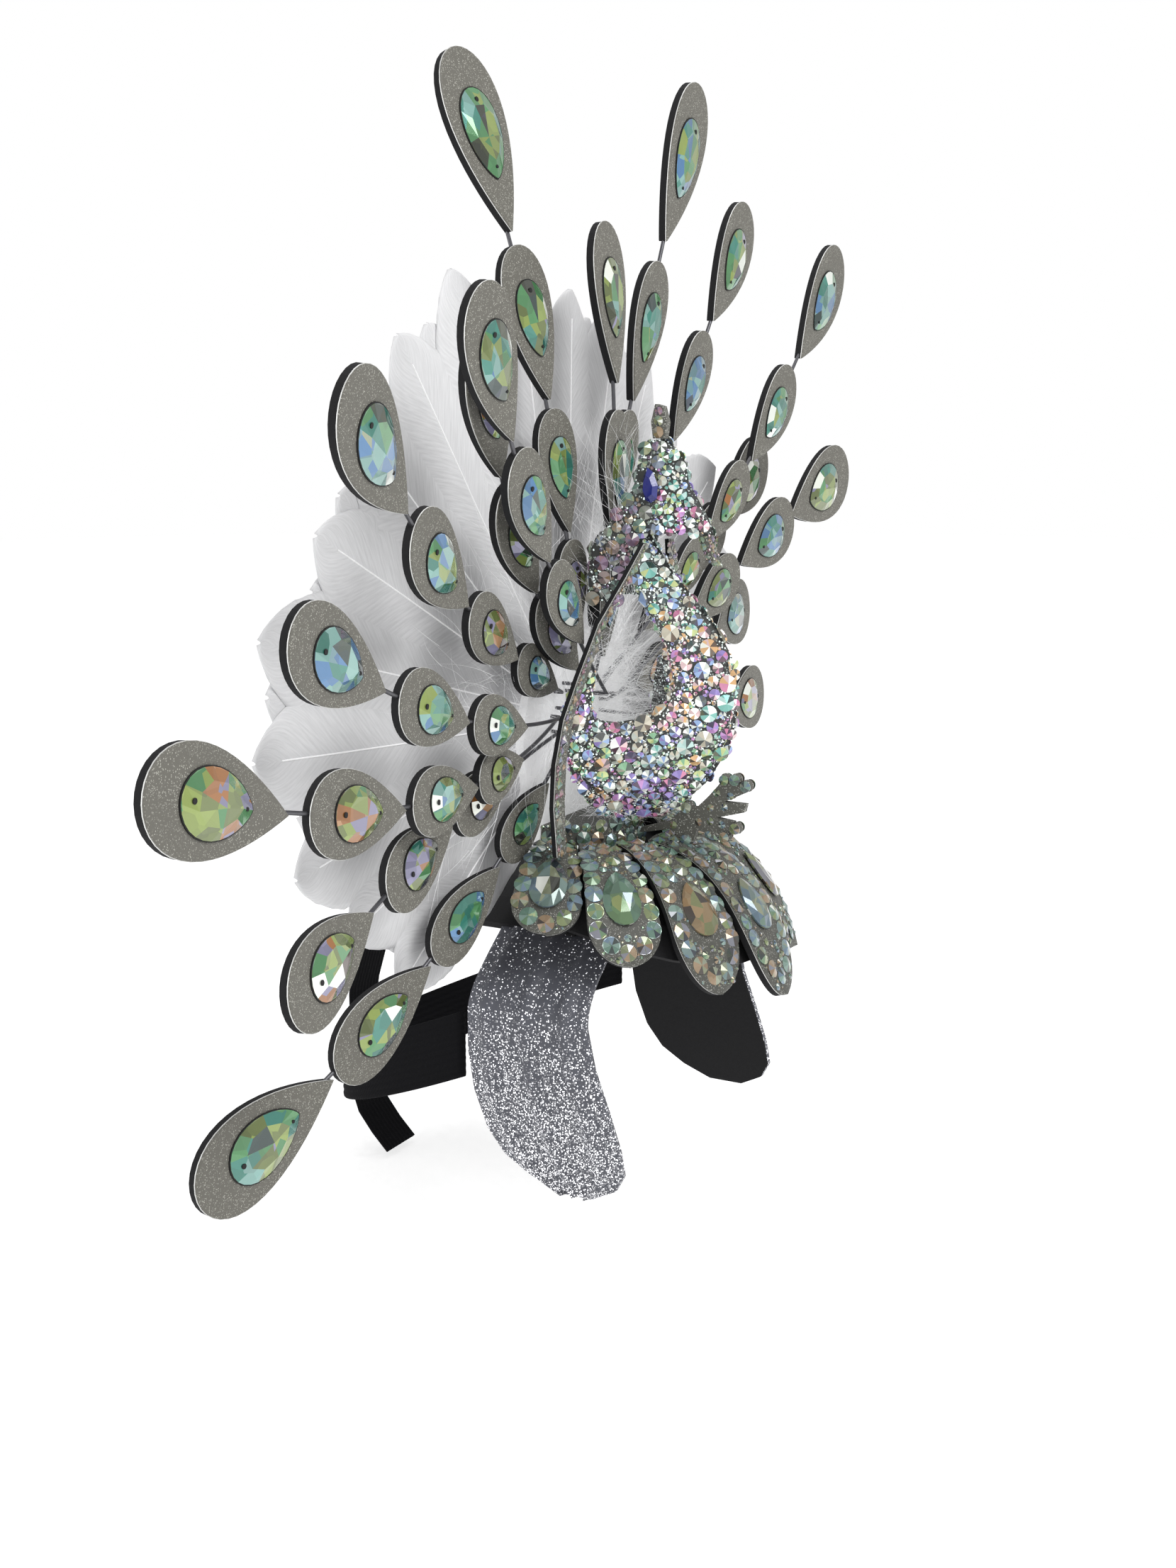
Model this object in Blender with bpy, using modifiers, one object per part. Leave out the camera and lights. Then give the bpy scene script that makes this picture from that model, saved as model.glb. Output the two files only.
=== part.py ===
"""Carnival headdress: a paved bird before a fan of wires with jewelled drops.

Millimetres are used in the tables and turned to metres when the meshes are made.
Origin: under the head band at the crown. Front is -Y, the wearer's left is +X.
"""
import math

import bmesh
import bpy
import numpy as np
from mathutils import Matrix, Vector

for old in list(bpy.data.objects):
    bpy.data.objects.remove(old, do_unlink=True)

MM = 0.001
SEAM = 0.3           # gap left between pieces that touch

# head opening
HEAD_HALF_WIDTH = 80.0
HEAD_HALF_LENGTH = 97.0
HEAD_CENTRE_Y = 20.0
BAND_THICK = 4.0

# fan plate and fan of wires
PLATE_RADIUS = 50.0
PLATE_Y = -8.5
HUB_Z = 78.0
ROOT_RADIUS = 25.0
WIRE_DIAMETER = 1.8
DROP_GAP = 4.0
FOAM_THICK = 4.6
PLATE_THICK = 4.0
LONG_DROPS = (80.0, 68.0, 57.0, 46.0)     # drop lengths, outermost first
SHORT_DROPS = (72.0, 61.0, 52.0)
DROP_SLIM = 0.50     # width over length
STONE_SHARE = 0.49   # stone length over drop length
STONE_SLIM = 0.64    # stone width over stone length
STONE_RISE = 3.0
RING_SIDES = 10

# end of each wire, how far its middle bows from the straight line, its drops, and
# the depth at which it leaves the fan plate (the wires lie in layers)
# name: (end x, y, z), (bow x, y, z), drops, root y
RAYS = {
    "centre": ((0, -26, 268), (0, -6, -8), SHORT_DROPS, -20),
    "right_1": ((-56, 7, 335), (-5, -12, -1), LONG_DROPS, -12),
    "right_2": ((-144, -50, 240), (-3, 2, -7), SHORT_DROPS, -31),
    "right_3": ((-120, -34, 225), (-5, 5, -5), SHORT_DROPS, -22),
    "right_4": ((-220, -45, 210), (0, 5, -10), LONG_DROPS, -13),
    "right_5": ((-240, -40, 135), (5, 0, -15), SHORT_DROPS, -22),
    "right_6": ((-305, -35, 95), (10, -5, -20), LONG_DROPS, -13),
    "right_7": ((-235, -30, 20), (10, 5, 5), SHORT_DROPS, -13),
    "right_8": ((-228, 9, -61), (4, -3, -11), LONG_DROPS, -14),
    "left_1": ((75, -26, 335), (-10, -1, -5), LONG_DROPS, -12),
    "left_2": ((125, -30, 290), (-10, -5, 0), SHORT_DROPS, -13),
    "left_3": ((252, -29, 273), (1, -2, -16), LONG_DROPS, -14),
    "left_4": ((203, -6, 176), (3, -1, 2), SHORT_DROPS, -12),
    "left_5": ((250, -32, 170), (5, 0, 5), LONG_DROPS[:3], -22),
    "left_6": ((210, 4, 100), (1, -3, 0), SHORT_DROPS, -13),
    "left_7": ((222, 0, 50), (2, -3, -6), SHORT_DROPS, -13),
    "left_8": ((205, -2, -65), (10, -4, -10), LONG_DROPS, -13),
}

PARTS = bpy.data.collections.new("carnival_headdress")
bpy.context.scene.collection.children.link(PARTS)


def material(name, rgb, rough, metal=0.0):
    mat = bpy.data.materials.new(name)
    mat.use_nodes = True
    shader = mat.node_tree.nodes["Principled BSDF"]
    shader.inputs["Base Color"].default_value = (*rgb, 1.0)
    shader.inputs["Roughness"].default_value = rough
    shader.inputs["Metallic"].default_value = metal
    mat.diffuse_color = (*rgb, 1.0)
    return mat


COLOURS = {
    "black_foam": ((0.02, 0.02, 0.022), 0.7),
    "taupe_glitter": ((0.25, 0.24, 0.22), 0.5),
    "slate_glitter": ((0.22, 0.23, 0.26), 0.4),
    "crystal": ((0.45, 0.55, 0.42), 0.1),
    "steel_wire": ((0.5, 0.5, 0.5), 0.3),
    "black_elastic": ((0.01, 0.01, 0.012), 0.85),
    "white_feather": ((0.75, 0.75, 0.76), 0.9),
    "navy_stone": ((0.01, 0.015, 0.12), 0.15),
}


def finish(name, verts, faces, slots, face_slots=None, smooth=False, closed=True):
    """Makes one mesh object from millimetre points; slots are keys of COLOURS."""
    mesh = bpy.data.meshes.new(name)
    mesh.from_pydata([tuple(c * MM for c in v) for v in verts], [], faces)
    for key in slots:
        rgb, rough = COLOURS[key]
        metal = 0.9 if key == "steel_wire" else 0.0
        mesh.materials.append(material(name + "." + key, rgb, rough, metal))
    if face_slots:
        mesh.polygons.foreach_set("material_index", face_slots)
    work = bmesh.new()
    work.from_mesh(mesh)
    bmesh.ops.remove_doubles(work, verts=work.verts, dist=1e-6)
    if closed:
        bmesh.ops.recalc_face_normals(work, faces=work.faces)
    work.to_mesh(mesh)
    work.free()
    obj = bpy.data.objects.new(name, mesh)
    PARTS.objects.link(obj)
    for poly in mesh.polygons:
        poly.use_smooth = smooth
    return obj


def join_solids(name, parts, slots):
    """One closed body from overlapping closed meshes, by exact union."""
    first = parts[0]
    for other in parts[1:]:
        step = first.modifiers.new("union", "BOOLEAN")
        step.operation = "UNION"
        step.solver = "EXACT"
        step.object = other
        bpy.context.view_layer.update()
        shaped = bpy.data.meshes.new_from_object(
            first.evaluated_get(bpy.context.evaluated_depsgraph_get()))
        first.modifiers.clear()
        first.data = shaped
    for other in parts[1:]:
        bpy.data.objects.remove(other, do_unlink=True)
    mesh = first.data
    keys = [m.name.split(".")[1] for m in mesh.materials]
    order = [slots.index(k) for k in keys]
    picked = [order[p.material_index] for p in mesh.polygons]
    mesh.materials.clear()
    for key in slots:
        rgb, rough = COLOURS[key]
        metal = 0.9 if key == "steel_wire" else 0.0
        mesh.materials.append(material(name + "." + key, rgb, rough, metal))
    mesh.polygons.foreach_set("material_index", picked)
    work = bmesh.new()
    work.from_mesh(mesh)
    bmesh.ops.remove_doubles(work, verts=work.verts, dist=2e-5)
    bmesh.ops.dissolve_degenerate(work, edges=work.edges, dist=1e-5)
    bmesh.ops.triangulate(work, faces=work.faces)
    work.to_mesh(mesh)
    work.free()
    first.name = name
    mesh.name = name
    return first


def pear(length, width, sides, blunt):
    """Outline of a drop: the tip at -length/2, the round end at +length/2."""
    rows = []
    for i in range(sides):
        t = 2 * math.pi * i / sides
        rows.append((-math.cos(t), math.sin(t) * abs(math.sin(t / 2)) ** blunt))
    wide = max(abs(r[1]) for r in rows)
    return [(r[0] * length / 2, r[1] * width / 2 / wide) for r in rows]


def drop_mesh(length, width, thick, stone, rise, sides=RING_SIDES):
    """Foam drop with its faceted stone: rings of points in the drop's own plane.

    Local x runs from the tip to the round end, z is the face side.
    """
    foam = pear(length, width, sides, 1.0)
    girdle = pear(stone[0], stone[1], sides, 0.45)
    table = [(0.58 * x, 0.58 * y) for x, y in girdle]
    verts = [(x, y, -thick / 2) for x, y in foam]
    verts += [(x, y, thick / 2) for x, y in foam]
    verts += [(x, y, thick / 2) for x, y in girdle]
    verts += [(x, y, thick / 2 + rise) for x, y in table]
    faces, slots = [tuple(reversed(range(sides)))], [0]
    for ring, slot in ((0, 0), (1, 1), (2, 2)):
        for i in range(sides):
            j = (i + 1) % sides
            a, b = ring * sides, (ring + 1) * sides
            faces.append((a + i, a + j, b + j, b + i))
            slots.append(slot)
    faces.append(tuple(range(3 * sides, 4 * sides)))
    slots.append(2)
    return verts, faces, slots


def place(verts, centre, along, face):
    """Puts local points at centre with local x along the wire and z to the face."""
    x = Vector(along).normalized()
    z = (Vector(face) - x * Vector(face).dot(x)).normalized()
    y = z.cross(x)
    turn = Matrix((x, y, z)).transposed()
    return [tuple(Vector(centre) + turn @ Vector(v)) for v in verts]


def tube(name, points, radius, key, sides=6):
    """Closed tube of a few straight lengths."""
    curve = bpy.data.curves.new(name, "CURVE")
    curve.dimensions = "3D"
    spline = curve.splines.new("POLY")
    spline.points.add(len(points) - 1)
    for spot, p in zip(spline.points, points):
        spot.co = (p[0] * MM, p[1] * MM, p[2] * MM, 1.0)
    curve.bevel_depth = radius * MM
    curve.bevel_resolution = 1
    curve.use_fill_caps = True
    holder = bpy.data.objects.new(name + "_curve", curve)
    PARTS.objects.link(holder)
    bpy.context.view_layer.update()
    graph = bpy.context.evaluated_depsgraph_get()
    mesh = bpy.data.meshes.new_from_object(holder.evaluated_get(graph))
    work = bmesh.new()
    work.from_mesh(mesh)
    bmesh.ops.remove_doubles(work, verts=work.verts, dist=1e-5)
    bmesh.ops.recalc_face_normals(work, faces=work.faces)
    work.to_mesh(mesh)
    work.free()
    bpy.data.objects.remove(holder, do_unlink=True)
    rgb, rough = COLOURS[key]
    mesh.materials.clear()
    mesh.materials.append(material(name + "." + key, rgb, rough, 0.9))
    obj = bpy.data.objects.new(name, mesh)
    PARTS.objects.link(obj)
    return obj


def bezier(root, mid, end, t):
    return [(1 - t) ** 2 * a + 2 * t * (1 - t) * b + t * t * c
            for a, b, c in zip(root, mid, end)]


def ray(name, end, bow, drops, root_y):
    """One wire with its drops, fused as they are glued in the real piece."""
    flat = Vector((end[0], 0, end[2] - HUB_Z)).normalized()
    root_radius = ROOT_RADIUS + 0.5 * (root_y + 12)
    root = Vector((0, root_y, HUB_Z)) + flat * root_radius
    end = Vector(end)
    mid = (root + end) / 2 + 2 * Vector(bow)
    reach = (end - root).length
    spots, away = [], 0.0
    for i, length in enumerate(drops):
        if i:
            away += (drops[i - 1] + length) / 2 + DROP_GAP
        t = 1 - away / reach
        spots.append((t, length))
    parts = []
    for i, (t, length) in enumerate(spots):
        centre = Vector(bezier(root, mid, end, t))
        along = (1 - t) * (mid - root) + t * (end - mid)
        side = 1 if centre.x >= 0 else -1
        face = Vector((side * 0.10, -1.0, 0.05))
        stone = (length * STONE_SHARE, length * STONE_SHARE * STONE_SLIM)
        verts, faces, slots = drop_mesh(length, length * DROP_SLIM, FOAM_THICK,
                                        stone, STONE_RISE)
        verts = place(verts, centre, along, face)
        parts.append(finish("%s_drop_%d" % (name, i), verts, faces,
                            ["black_foam", "taupe_glitter", "crystal"], slots))
    # a short leg takes the wire straight back to the fan plate
    foot = Vector((root.x, PLATE_Y - SEAM, root.z))
    wire = [tuple(foot), tuple(root)]
    for t, _ in reversed(spots):
        wire.append(tuple(bezier(root, mid, end, t)))
    parts.append(tube(name + "_wire", wire, WIRE_DIAMETER / 2, "steel_wire"))
    return join_solids("ray_" + name, parts,
                       ["black_foam", "taupe_glitter", "crystal", "steel_wire"])


for label, (tip, bend, sizes, depth) in RAYS.items():
    ray(label, tip, bend, sizes, depth)


def sheet(name, rows, thick, keys, slots=None, side=1.0, smooth=True, cap=0):
    """Closed sheet from rows of points, thickened by a Solidify modifier."""
    across = len(rows[0])
    verts = [p for row in rows for p in row]
    faces = []
    for i in range(len(rows) - 1):
        for j in range(across - 1):
            a = i * across + j
            faces.append((a, a + 1, a + across + 1, a + across))
    obj = finish(name, verts, faces, keys, closed=False)
    step = obj.modifiers.new("thickness", "SOLIDIFY")
    step.thickness = thick * MM
    step.offset = side
    step.use_even_offset = True
    if len(keys) > 1:
        step.material_offset = 1
        step.material_offset_rim = 1
    bpy.context.view_layer.update()
    graph = bpy.context.evaluated_depsgraph_get()
    mesh = bpy.data.meshes.new_from_object(obj.evaluated_get(graph))
    obj.modifiers.clear()
    obj.data = mesh
    mesh.name = name
    work = bmesh.new()
    work.from_mesh(mesh)
    bmesh.ops.remove_doubles(work, verts=work.verts, dist=1e-6)
    bmesh.ops.recalc_face_normals(work, faces=work.faces)
    work.to_mesh(mesh)
    work.free()
    return obj


# head band: an arch over the crown, its ends carry the side flaps
def arch(angle):
    """Point of the band's inner line; 0 at the crown, 90 at the side."""
    a = math.radians(angle)
    return HEAD_HALF_WIDTH * math.sin(a), -70.0 * (1 - math.cos(a))


BAND_FRONT, BAND_REAR = -38.0, 18.0
rows = []
for angle in range(-42, 43, 12):
    x, z = arch(angle)
    rows.append([(x, BAND_FRONT, z), (x, BAND_REAR, z)])
sheet("head_band", rows, -BAND_THICK, ["black_foam"])

# side flaps: long tongues that follow the head and lean forward at the bottom
# share of the length: (front y, rear y)
FLAP_ROWS = (
    (0.00, -58, 1), (0.10, -58, 1), (0.28, -59, 2), (0.45, -63, 2), (0.62, -70, -1),
    (0.78, -76, -8), (0.88, -78, -17), (0.95, -74, -30), (1.00, -63, -45),
)
FLAP_TOP_ANGLE = 42.3
FLAP_BOTTOM_Z = -128.0
for word, sign in (("right", -1), ("left", 1)):
    top_x, top_z = arch(FLAP_TOP_ANGLE)
    rows = []
    for share, front, rear in FLAP_ROWS:
        z = top_z + (FLAP_BOTTOM_Z - top_z) * share
        bend = min(1.0, share / 0.28)
        x = top_x + (HEAD_HALF_WIDTH + 1.5 - top_x) * math.sin(bend * math.pi / 2)
        width = rear - front
        row = []
        for k in range(7):
            lift = 1.2 if k % 2 else 0.0
            row.append((sign * (x + lift), front + width * k / 6, z))
        rows.append(row)
    sheet("side_flap_" + word, rows, -BAND_THICK * sign,
          ["slate_glitter", "black_foam"])

# elastic strap round the back of the head, falling towards the rear
STRAP_HEIGHT = 32.0
STRAP_THICK = 1.6
rows = []
for k in range(15):
    a = math.radians(-8 + 196 * k / 14)
    x = (HEAD_HALF_WIDTH - 0.4) * math.cos(a)
    y = HEAD_CENTRE_Y + (HEAD_HALF_LENGTH - 2) * math.sin(a)
    drop = 0.42 * (y - 4)
    rows.append([(x, y, -50 - drop), (x, y, -50 - STRAP_HEIGHT - drop)])
sheet("back_strap", rows, STRAP_THICK, ["black_elastic"])

# second strip from the band down the back of the head
STRIP_WIDTH = 26.0
STRIP_LINE = ((18.4, 1), (50, -2), (85, -18), (107, -45), (117, -78),
              (117, -131), (113, -143), (105, -153), (96, -162))
rows = [[(-STRIP_WIDTH / 2, y, z), (STRIP_WIDTH / 2, y, z)] for y, z in STRIP_LINE]
sheet("back_strip", rows, STRAP_THICK, ["black_elastic"])

# fan plate: black foam half-disc that carries the wires
PLATE_BOTTOM_Z = 4.0
verts, ring = [], 24
for y in (PLATE_Y, PLATE_Y + PLATE_THICK):
    for i in range(ring + 1):
        a = math.radians(-20 + 220 * i / ring)
        verts.append((PLATE_RADIUS * math.cos(a), y,
                      70.0 + PLATE_RADIUS * math.sin(a) * 0.95))
    verts.append((-40.0, y, PLATE_BOTTOM_Z))
    verts.append((40.0, y, PLATE_BOTTOM_Z))
count = ring + 3
faces = [tuple(range(count)), tuple(reversed(range(count, 2 * count)))]
for i in range(count):
    j = (i + 1) % count
    faces.append((i, i + count, j + count, j))
finish("fan_plate", verts, faces, ["black_foam"])

# feather fan: flat vanes side by side, fused to a thin backing
FEATHER_Y = -4.1
FEATHER_SWEEP = 0.075     # the vanes lean back by this share of their length
FEATHER_HUB_Z = 75.0
VANE_THICK = 1.6
# lean from upright in degrees, length in millimetres
RIGHT_FEATHERS = ((6, 206), (20, 222), (33, 216), (47, 214), (60, 208), (74, 228),
                  (87, 226), (100, 206), (113, 182), (126, 168))
LEFT_FEATHERS = ((8, 206), (22, 212), (35, 206), (49, 202), (63, 236), (76, 240),
                 (89, 226), (102, 200), (115, 178), (128, 160))


def fan_rows(table, sign):
    """Radial rows of a half fan: each feather has a tip, two shoulders, a valley."""
    stations = [(0.0, table[0][1] * 0.86, 0.0)]
    for i, (lean, length) in enumerate(table):
        before = table[i - 1][0] if i else -lean
        after = table[i + 1][0] if i + 1 < len(table) else 2 * lean - before
        low, high = (lean + before) / 2, (lean + after) / 2
        stations.append((lean - 0.5 * (lean - low), length * 0.95, 0.6))
        stations.append((lean, length, 1.2))
        stations.append((lean + 0.5 * (high - lean), length * 0.95, 0.6))
        stations.append((high, length * 0.84, 0.0))
    rows = []
    for lean, length, ridge in stations:
        a = math.radians(lean)
        row = []
        for r, raised in ((16.0, 0.0), (0.62 * length, 0.7), (length, 1.0)):
            row.append((sign * (0.25 + r * math.sin(a)),
                        FEATHER_Y + FEATHER_SWEEP * r - ridge * raised,
                        FEATHER_HUB_Z + r * math.cos(a)))
        rows.append(row)
    return rows


for word, sign, table in (("right", -1, RIGHT_FEATHERS), ("left", 1, LEFT_FEATHERS)):
    sheet("feather_fan_" + word, fan_rows(table, sign), -VANE_THICK * sign,
          ["white_feather"])

# bird: everything is measured back from the front ridge of the breast
# height: y of the ridge
RIDGE = ((163, -46), (153, -53), (143, -60), (129, -73), (116, -84), (104, -91),
         (91, -93), (76, -92), (64, -88), (50, -79), (42, -70), (36, -60), (30, -47),
         (26, -32))
BREAST_FLARE = 0.75


def ridge_y(z):
    table = sorted(RIDGE)
    return float(np.interp(z, [r[0] for r in table], [r[1] for r in table]))


# crescent breast panel: (y, z) of the outer edge, (y, z) of the inner edge
BREAST = (
    ((-46, 163), (-43, 159)), ((-53, 153), (-46, 148)), ((-60, 143), (-50, 138)),
    ((-73, 129), (-57, 127)), ((-84, 116), (-65, 116)), ((-91, 104), (-70, 105)),
    ((-93, 91), (-71, 95)), ((-92, 76), (-69, 88)), ((-88, 64), (-64, 83)),
    ((-79, 50), (-57, 80)), ((-68, 40), (-50, 79)), ((-54, 33), (-45, 80)),
    ((-40, 30), (-42, 82)), ((-33, 40), (-41, 85)), ((-31, 56), (-41, 89)),
    ((-30, 71), (-41, 94)), ((-31, 86), (-42, 98)), ((-35, 98), (-42, 102)),
)
BREAST_THICK = 4.0
BREAST_BACK, BREAST_UP = 3.5, 2.0     # the tables give the outer face
for word, sign in (("right", -1), ("left", 1)):
    rows = []
    for outer, inner in BREAST:
        row = []
        for k in range(4):
            y = outer[0] + (inner[0] - outer[0]) * k / 3
            z = outer[1] + (inner[1] - outer[1]) * k / 3
            back = max(0.0, y - ridge_y(z))
            row.append((sign * (0.2 + BREAST_FLARE * back), y + BREAST_BACK,
                        z + BREAST_UP))
        rows.append(row)
    sheet("breast_" + word, rows, -BREAST_THICK * sign, ["black_foam"])

# head and neck: z, front y, rear y; the two sides meet at the forehead ridge
HEAD_ROWS = ((206, -54, -48), (202, -59, -46), (196, -64, -45), (188, -65, -44),
             (180, -70, -41), (172, -75, -36), (165, -78, -31))
NECK_ROWS = ((158, -44, -26), (146, -40, -25), (134, -38, -25))
HEAD_FLARE = 0.30
HEAD_THICK = 3.0
for word, sign in (("right", -1), ("left", 1)):
    verts, faces = [], []
    for z, front, rear in HEAD_ROWS:
        for y in (front, -46.0 if rear > -43 else (front + rear) / 2, rear):
            verts.append((sign * (0.2 + HEAD_FLARE * (y - front)), y, z))
    for z, front, rear in NECK_ROWS:
        for y in (front - 0.01, front, rear):
            verts.append((sign * (0.2 + HEAD_FLARE * (y + 78)), y, z))
    total = len(HEAD_ROWS) + len(NECK_ROWS)
    for i in range(total - 1):
        for j in range(2):
            if j == 0 and i >= len(HEAD_ROWS) - 1:
                continue
            a = i * 3 + j
            faces.append((a, a + 1, a + 4, a + 3))
    used = sorted({k for f in faces for k in f})
    names = {k: n for n, k in enumerate(used)}
    obj = finish("head_neck_" + word, [verts[k] for k in used],
                 [tuple(names[k] for k in f) for f in faces], ["black_foam"],
                 closed=False)
    step = obj.modifiers.new("thickness", "SOLIDIFY")
    step.thickness = HEAD_THICK * MM
    step.offset = 1.0 * -sign
    bpy.context.view_layer.update()
    graph = bpy.context.evaluated_depsgraph_get()
    obj.data = bpy.data.meshes.new_from_object(obj.evaluated_get(graph))
    obj.modifiers.clear()
    work = bmesh.new()
    work.from_mesh(obj.data)
    bmesh.ops.recalc_face_normals(work, faces=work.faces)
    work.to_mesh(obj.data)
    work.free()


def solid(name, outline, x0, x1, key, squeeze=1.0):
    """Plate with an outline given in (y, z), from x0 to x1."""
    n = len(outline)
    cy = sum(p[0] for p in outline) / n
    cz = sum(p[1] for p in outline) / n
    verts = [(x0, y, z) for y, z in outline]
    verts += [(x1, cy + (y - cy) * squeeze, cz + (z - cz) * squeeze)
              for y, z in outline]
    faces = [tuple(range(n)), tuple(reversed(range(n, 2 * n)))]
    for i in range(n):
        j = (i + 1) % n
        faces.append((i, i + n, j + n, j))
    return finish(name, verts, faces, [key])


# hooked beak and small crest stand in the middle plane
solid("beak", ((-79, 164.7), (-80, 158), (-83, 151), (-79.5, 153), (-76, 158),
               (-74, 164.7)), -3.5, 3.5, "crystal")
solid("crest", ((-56, 207.6), (-57, 215), (-55, 222), (-51, 223), (-49, 215),
                (-50, 207.6)), -2.0, 2.0, "crystal")
EYE = ((-56, 181), (-56.5, 187), (-54, 193), (-51, 195), (-49, 190), (-48.5, 184),
       (-50, 180.5), (-53, 179))
for word, sign in (("right", -1), ("left", 1)):
    solid("eye_" + word, EYE, sign * 9.75, sign * 12.2, "navy_stone", 0.6)

# wings: scalloped plates that run from the neck down to the petals
# outer edge x, y, z
WING_EDGE = ((15, -50, 161), (28, -47, 146), (44, -42, 127), (56, -38, 104),
             (64, -35, 86), (68, -33, 66), (68, -32, 46), (65, -32, 23))
WING_WIDTH = (3, 7, 10, 11, 11, 12, 12, 10)
for word, sign in (("right", -1), ("left", 1)):
    rows = []
    for (x, y, z), width in zip(WING_EDGE, WING_WIDTH):
        rows.append([(sign * (x - width * k / 2), y + 0.12 * width * k, z)
                     for k in range(3)])
    sheet("wing_" + word, rows, 3.0 * sign, ["black_foam"])

# brow base and petals share one profile that falls from the crown to the brow
BASE_CENTRE_Y = -6.0


BROW_ROOT_RADIUS, BROW_ROOT_Z = 36.0, 16.0


def brow(angle, share, lift):
    """Point of the brow profile; angle 0 is the front, share 0 root to 1 end."""
    a = math.radians(angle)
    front = math.cos(a) ** 2
    end_r = 86.0 + 24.0 * front
    end_z = -8.0 - 40.0 * front
    p0, p1, p2 = (BROW_ROOT_RADIUS, BROW_ROOT_Z), (end_r - 20.0, 24.0), (end_r, end_z)
    r = (1 - share) ** 2 * p0[0] + 2 * share * (1 - share) * p1[0] + share ** 2 * p2[0]
    z = (1 - share) ** 2 * p0[1] + 2 * share * (1 - share) * p1[1] + share ** 2 * p2[1]
    tr = (1 - share) * (p1[0] - p0[0]) + share * (p2[0] - p1[0])
    tz = (1 - share) * (p1[1] - p0[1]) + share * (p2[1] - p1[1])
    size = math.hypot(tr, tz)
    r += -tz / size * lift
    z += tr / size * lift
    return Vector((r * math.sin(a), BASE_CENTRE_Y - r * math.cos(a), z))


rows = []
for k in range(15):
    angle = -76 + 152 * k / 14
    rows.append([tuple(brow(angle, s, -4.4)) for s in (0.0, 0.3, 0.5, 0.7, 0.86)])
sheet("brow_base", rows, 3.0, ["black_foam"])
# foot under the bird: a foam half-round that fills the crown inside the petals
FOOT_CLEARANCE, FOOT_TAPER = 0.2, 1.8
FOOT_RADIUS = BROW_ROOT_RADIUS - FOOT_CLEARANCE
FOOT_TOP_RADIUS = FOOT_RADIUS - FOOT_TAPER
FOOT_LEVELS = ((4.2, FOOT_RADIUS), (15.0, FOOT_RADIUS), (28.8, FOOT_TOP_RADIUS))
FOOT_REAR_Y = PLATE_Y - SEAM
foot_verts, half_turn = [], 16
for z, radius in FOOT_LEVELS:
    start = math.acos((BASE_CENTRE_Y - FOOT_REAR_Y) / radius)
    for i in range(half_turn + 1):
        a = -start + 2 * start * i / half_turn
        foot_verts.append((radius * math.sin(a), BASE_CENTRE_Y - radius * math.cos(a),
                           z))
side = half_turn + 1
foot_faces = [tuple(reversed(range(side))), tuple(range(2 * side, 3 * side))]
for level in (0, 1):
    for i in range(side):
        j = (i + 1) % side
        a, b = level * side, (level + 1) * side
        foot_faces.append((a + i, a + j, b + j, b + i))
finish("bird_foot", foot_verts, foot_faces, ["black_foam"])

PETAL_ANGLES = (0, 23, 46, 69)
PETAL_THICK = 4.0
PETAL_LENGTHS = (1.0, 0.97, 0.95, 0.95)


def petal(name, angle, end):
    """Leaf-shaped petal bent over the brow, with one faceted stone fused on it."""
    stations = (0.10, 0.25, 0.4, 0.55, 0.7, 0.82, 0.92, 0.98, 1.0)
    rounding = (1, 1, 1, 1, 1, 0.95, 0.72, 0.42, 0.18)
    half = math.tan(math.radians(11.0))
    verts = []
    for lift in (0.0, PETAL_THICK):
        for s, trim in zip(stations, rounding):
            centre = brow(angle, s * end, lift)
            a = math.radians(angle)
            r = math.hypot(centre.x, centre.y - BASE_CENTRE_Y)
            across = Vector((math.cos(a), math.sin(a), 0)) * min(r * half, 19.0) * trim
            verts += [tuple(centre - across), tuple(centre), tuple(centre + across)]
    n = len(stations)
    faces, slots = [], []
    for layer in (0, 1):
        base = layer * n * 3
        for i in range(n - 1):
            for j in range(2):
                a = base + i * 3 + j
                faces.append((a, a + 1, a + 4, a + 3))
                slots.append(layer)
    rim = [i * 3 for i in range(n)] + [(n - 1) * 3 + 1]
    rim += [i * 3 + 2 for i in reversed(range(n))] + [1]
    for i, a in enumerate(rim):
        b = rim[(i + 1) % len(rim)]
        faces.append((a, b, b + n * 3, a + n * 3))
        slots.append(0)
    body = finish(name + "_body", verts, faces, ["black_foam", "taupe_glitter"],
                  slots)
    spot = brow(angle, 0.66 * end, PETAL_THICK - 0.4)
    ahead = brow(angle, 0.78 * end, PETAL_THICK - 0.4) - brow(angle, 0.56 * end,
                                                             PETAL_THICK - 0.4)
    out = Vector((math.sin(math.radians(angle)), -math.cos(math.radians(angle)), 0))
    face = out * abs(ahead.z) + Vector((0, 0, 1)) * math.hypot(ahead.x, ahead.y)
    girdle = pear(27.0, 17.5, 12, 0.45)
    table = [(0.58 * x, 0.58 * y) for x, y in girdle]
    points = [(x, y, -1.6) for x, y in girdle] + [(x, y, 0.6) for x, y in girdle]
    points += [(x, y, 3.4) for x, y in table]
    sides = [tuple(reversed(range(12))), tuple(range(24, 36))]
    for ring_no in (0, 12):
        for i in range(12):
            j = (i + 1) % 12
            sides.append((ring_no + i, ring_no + j, ring_no + 12 + j, ring_no + 12 + i))
    stone = finish(name + "_stone", place(points, spot, ahead, face), sides,
                   ["crystal"])
    return join_solids(name, [body, stone], ["black_foam", "taupe_glitter", "crystal"])


for word, sign in (("right", -1), ("left", 1)):
    for number, angle in enumerate(PETAL_ANGLES):
        if angle == 0 and sign > 0:
            continue
        label = "petal_centre" if angle == 0 else "petal_%s_%d" % (word, number)
        petal(label, sign * angle, PETAL_LENGTHS[number])

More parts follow.
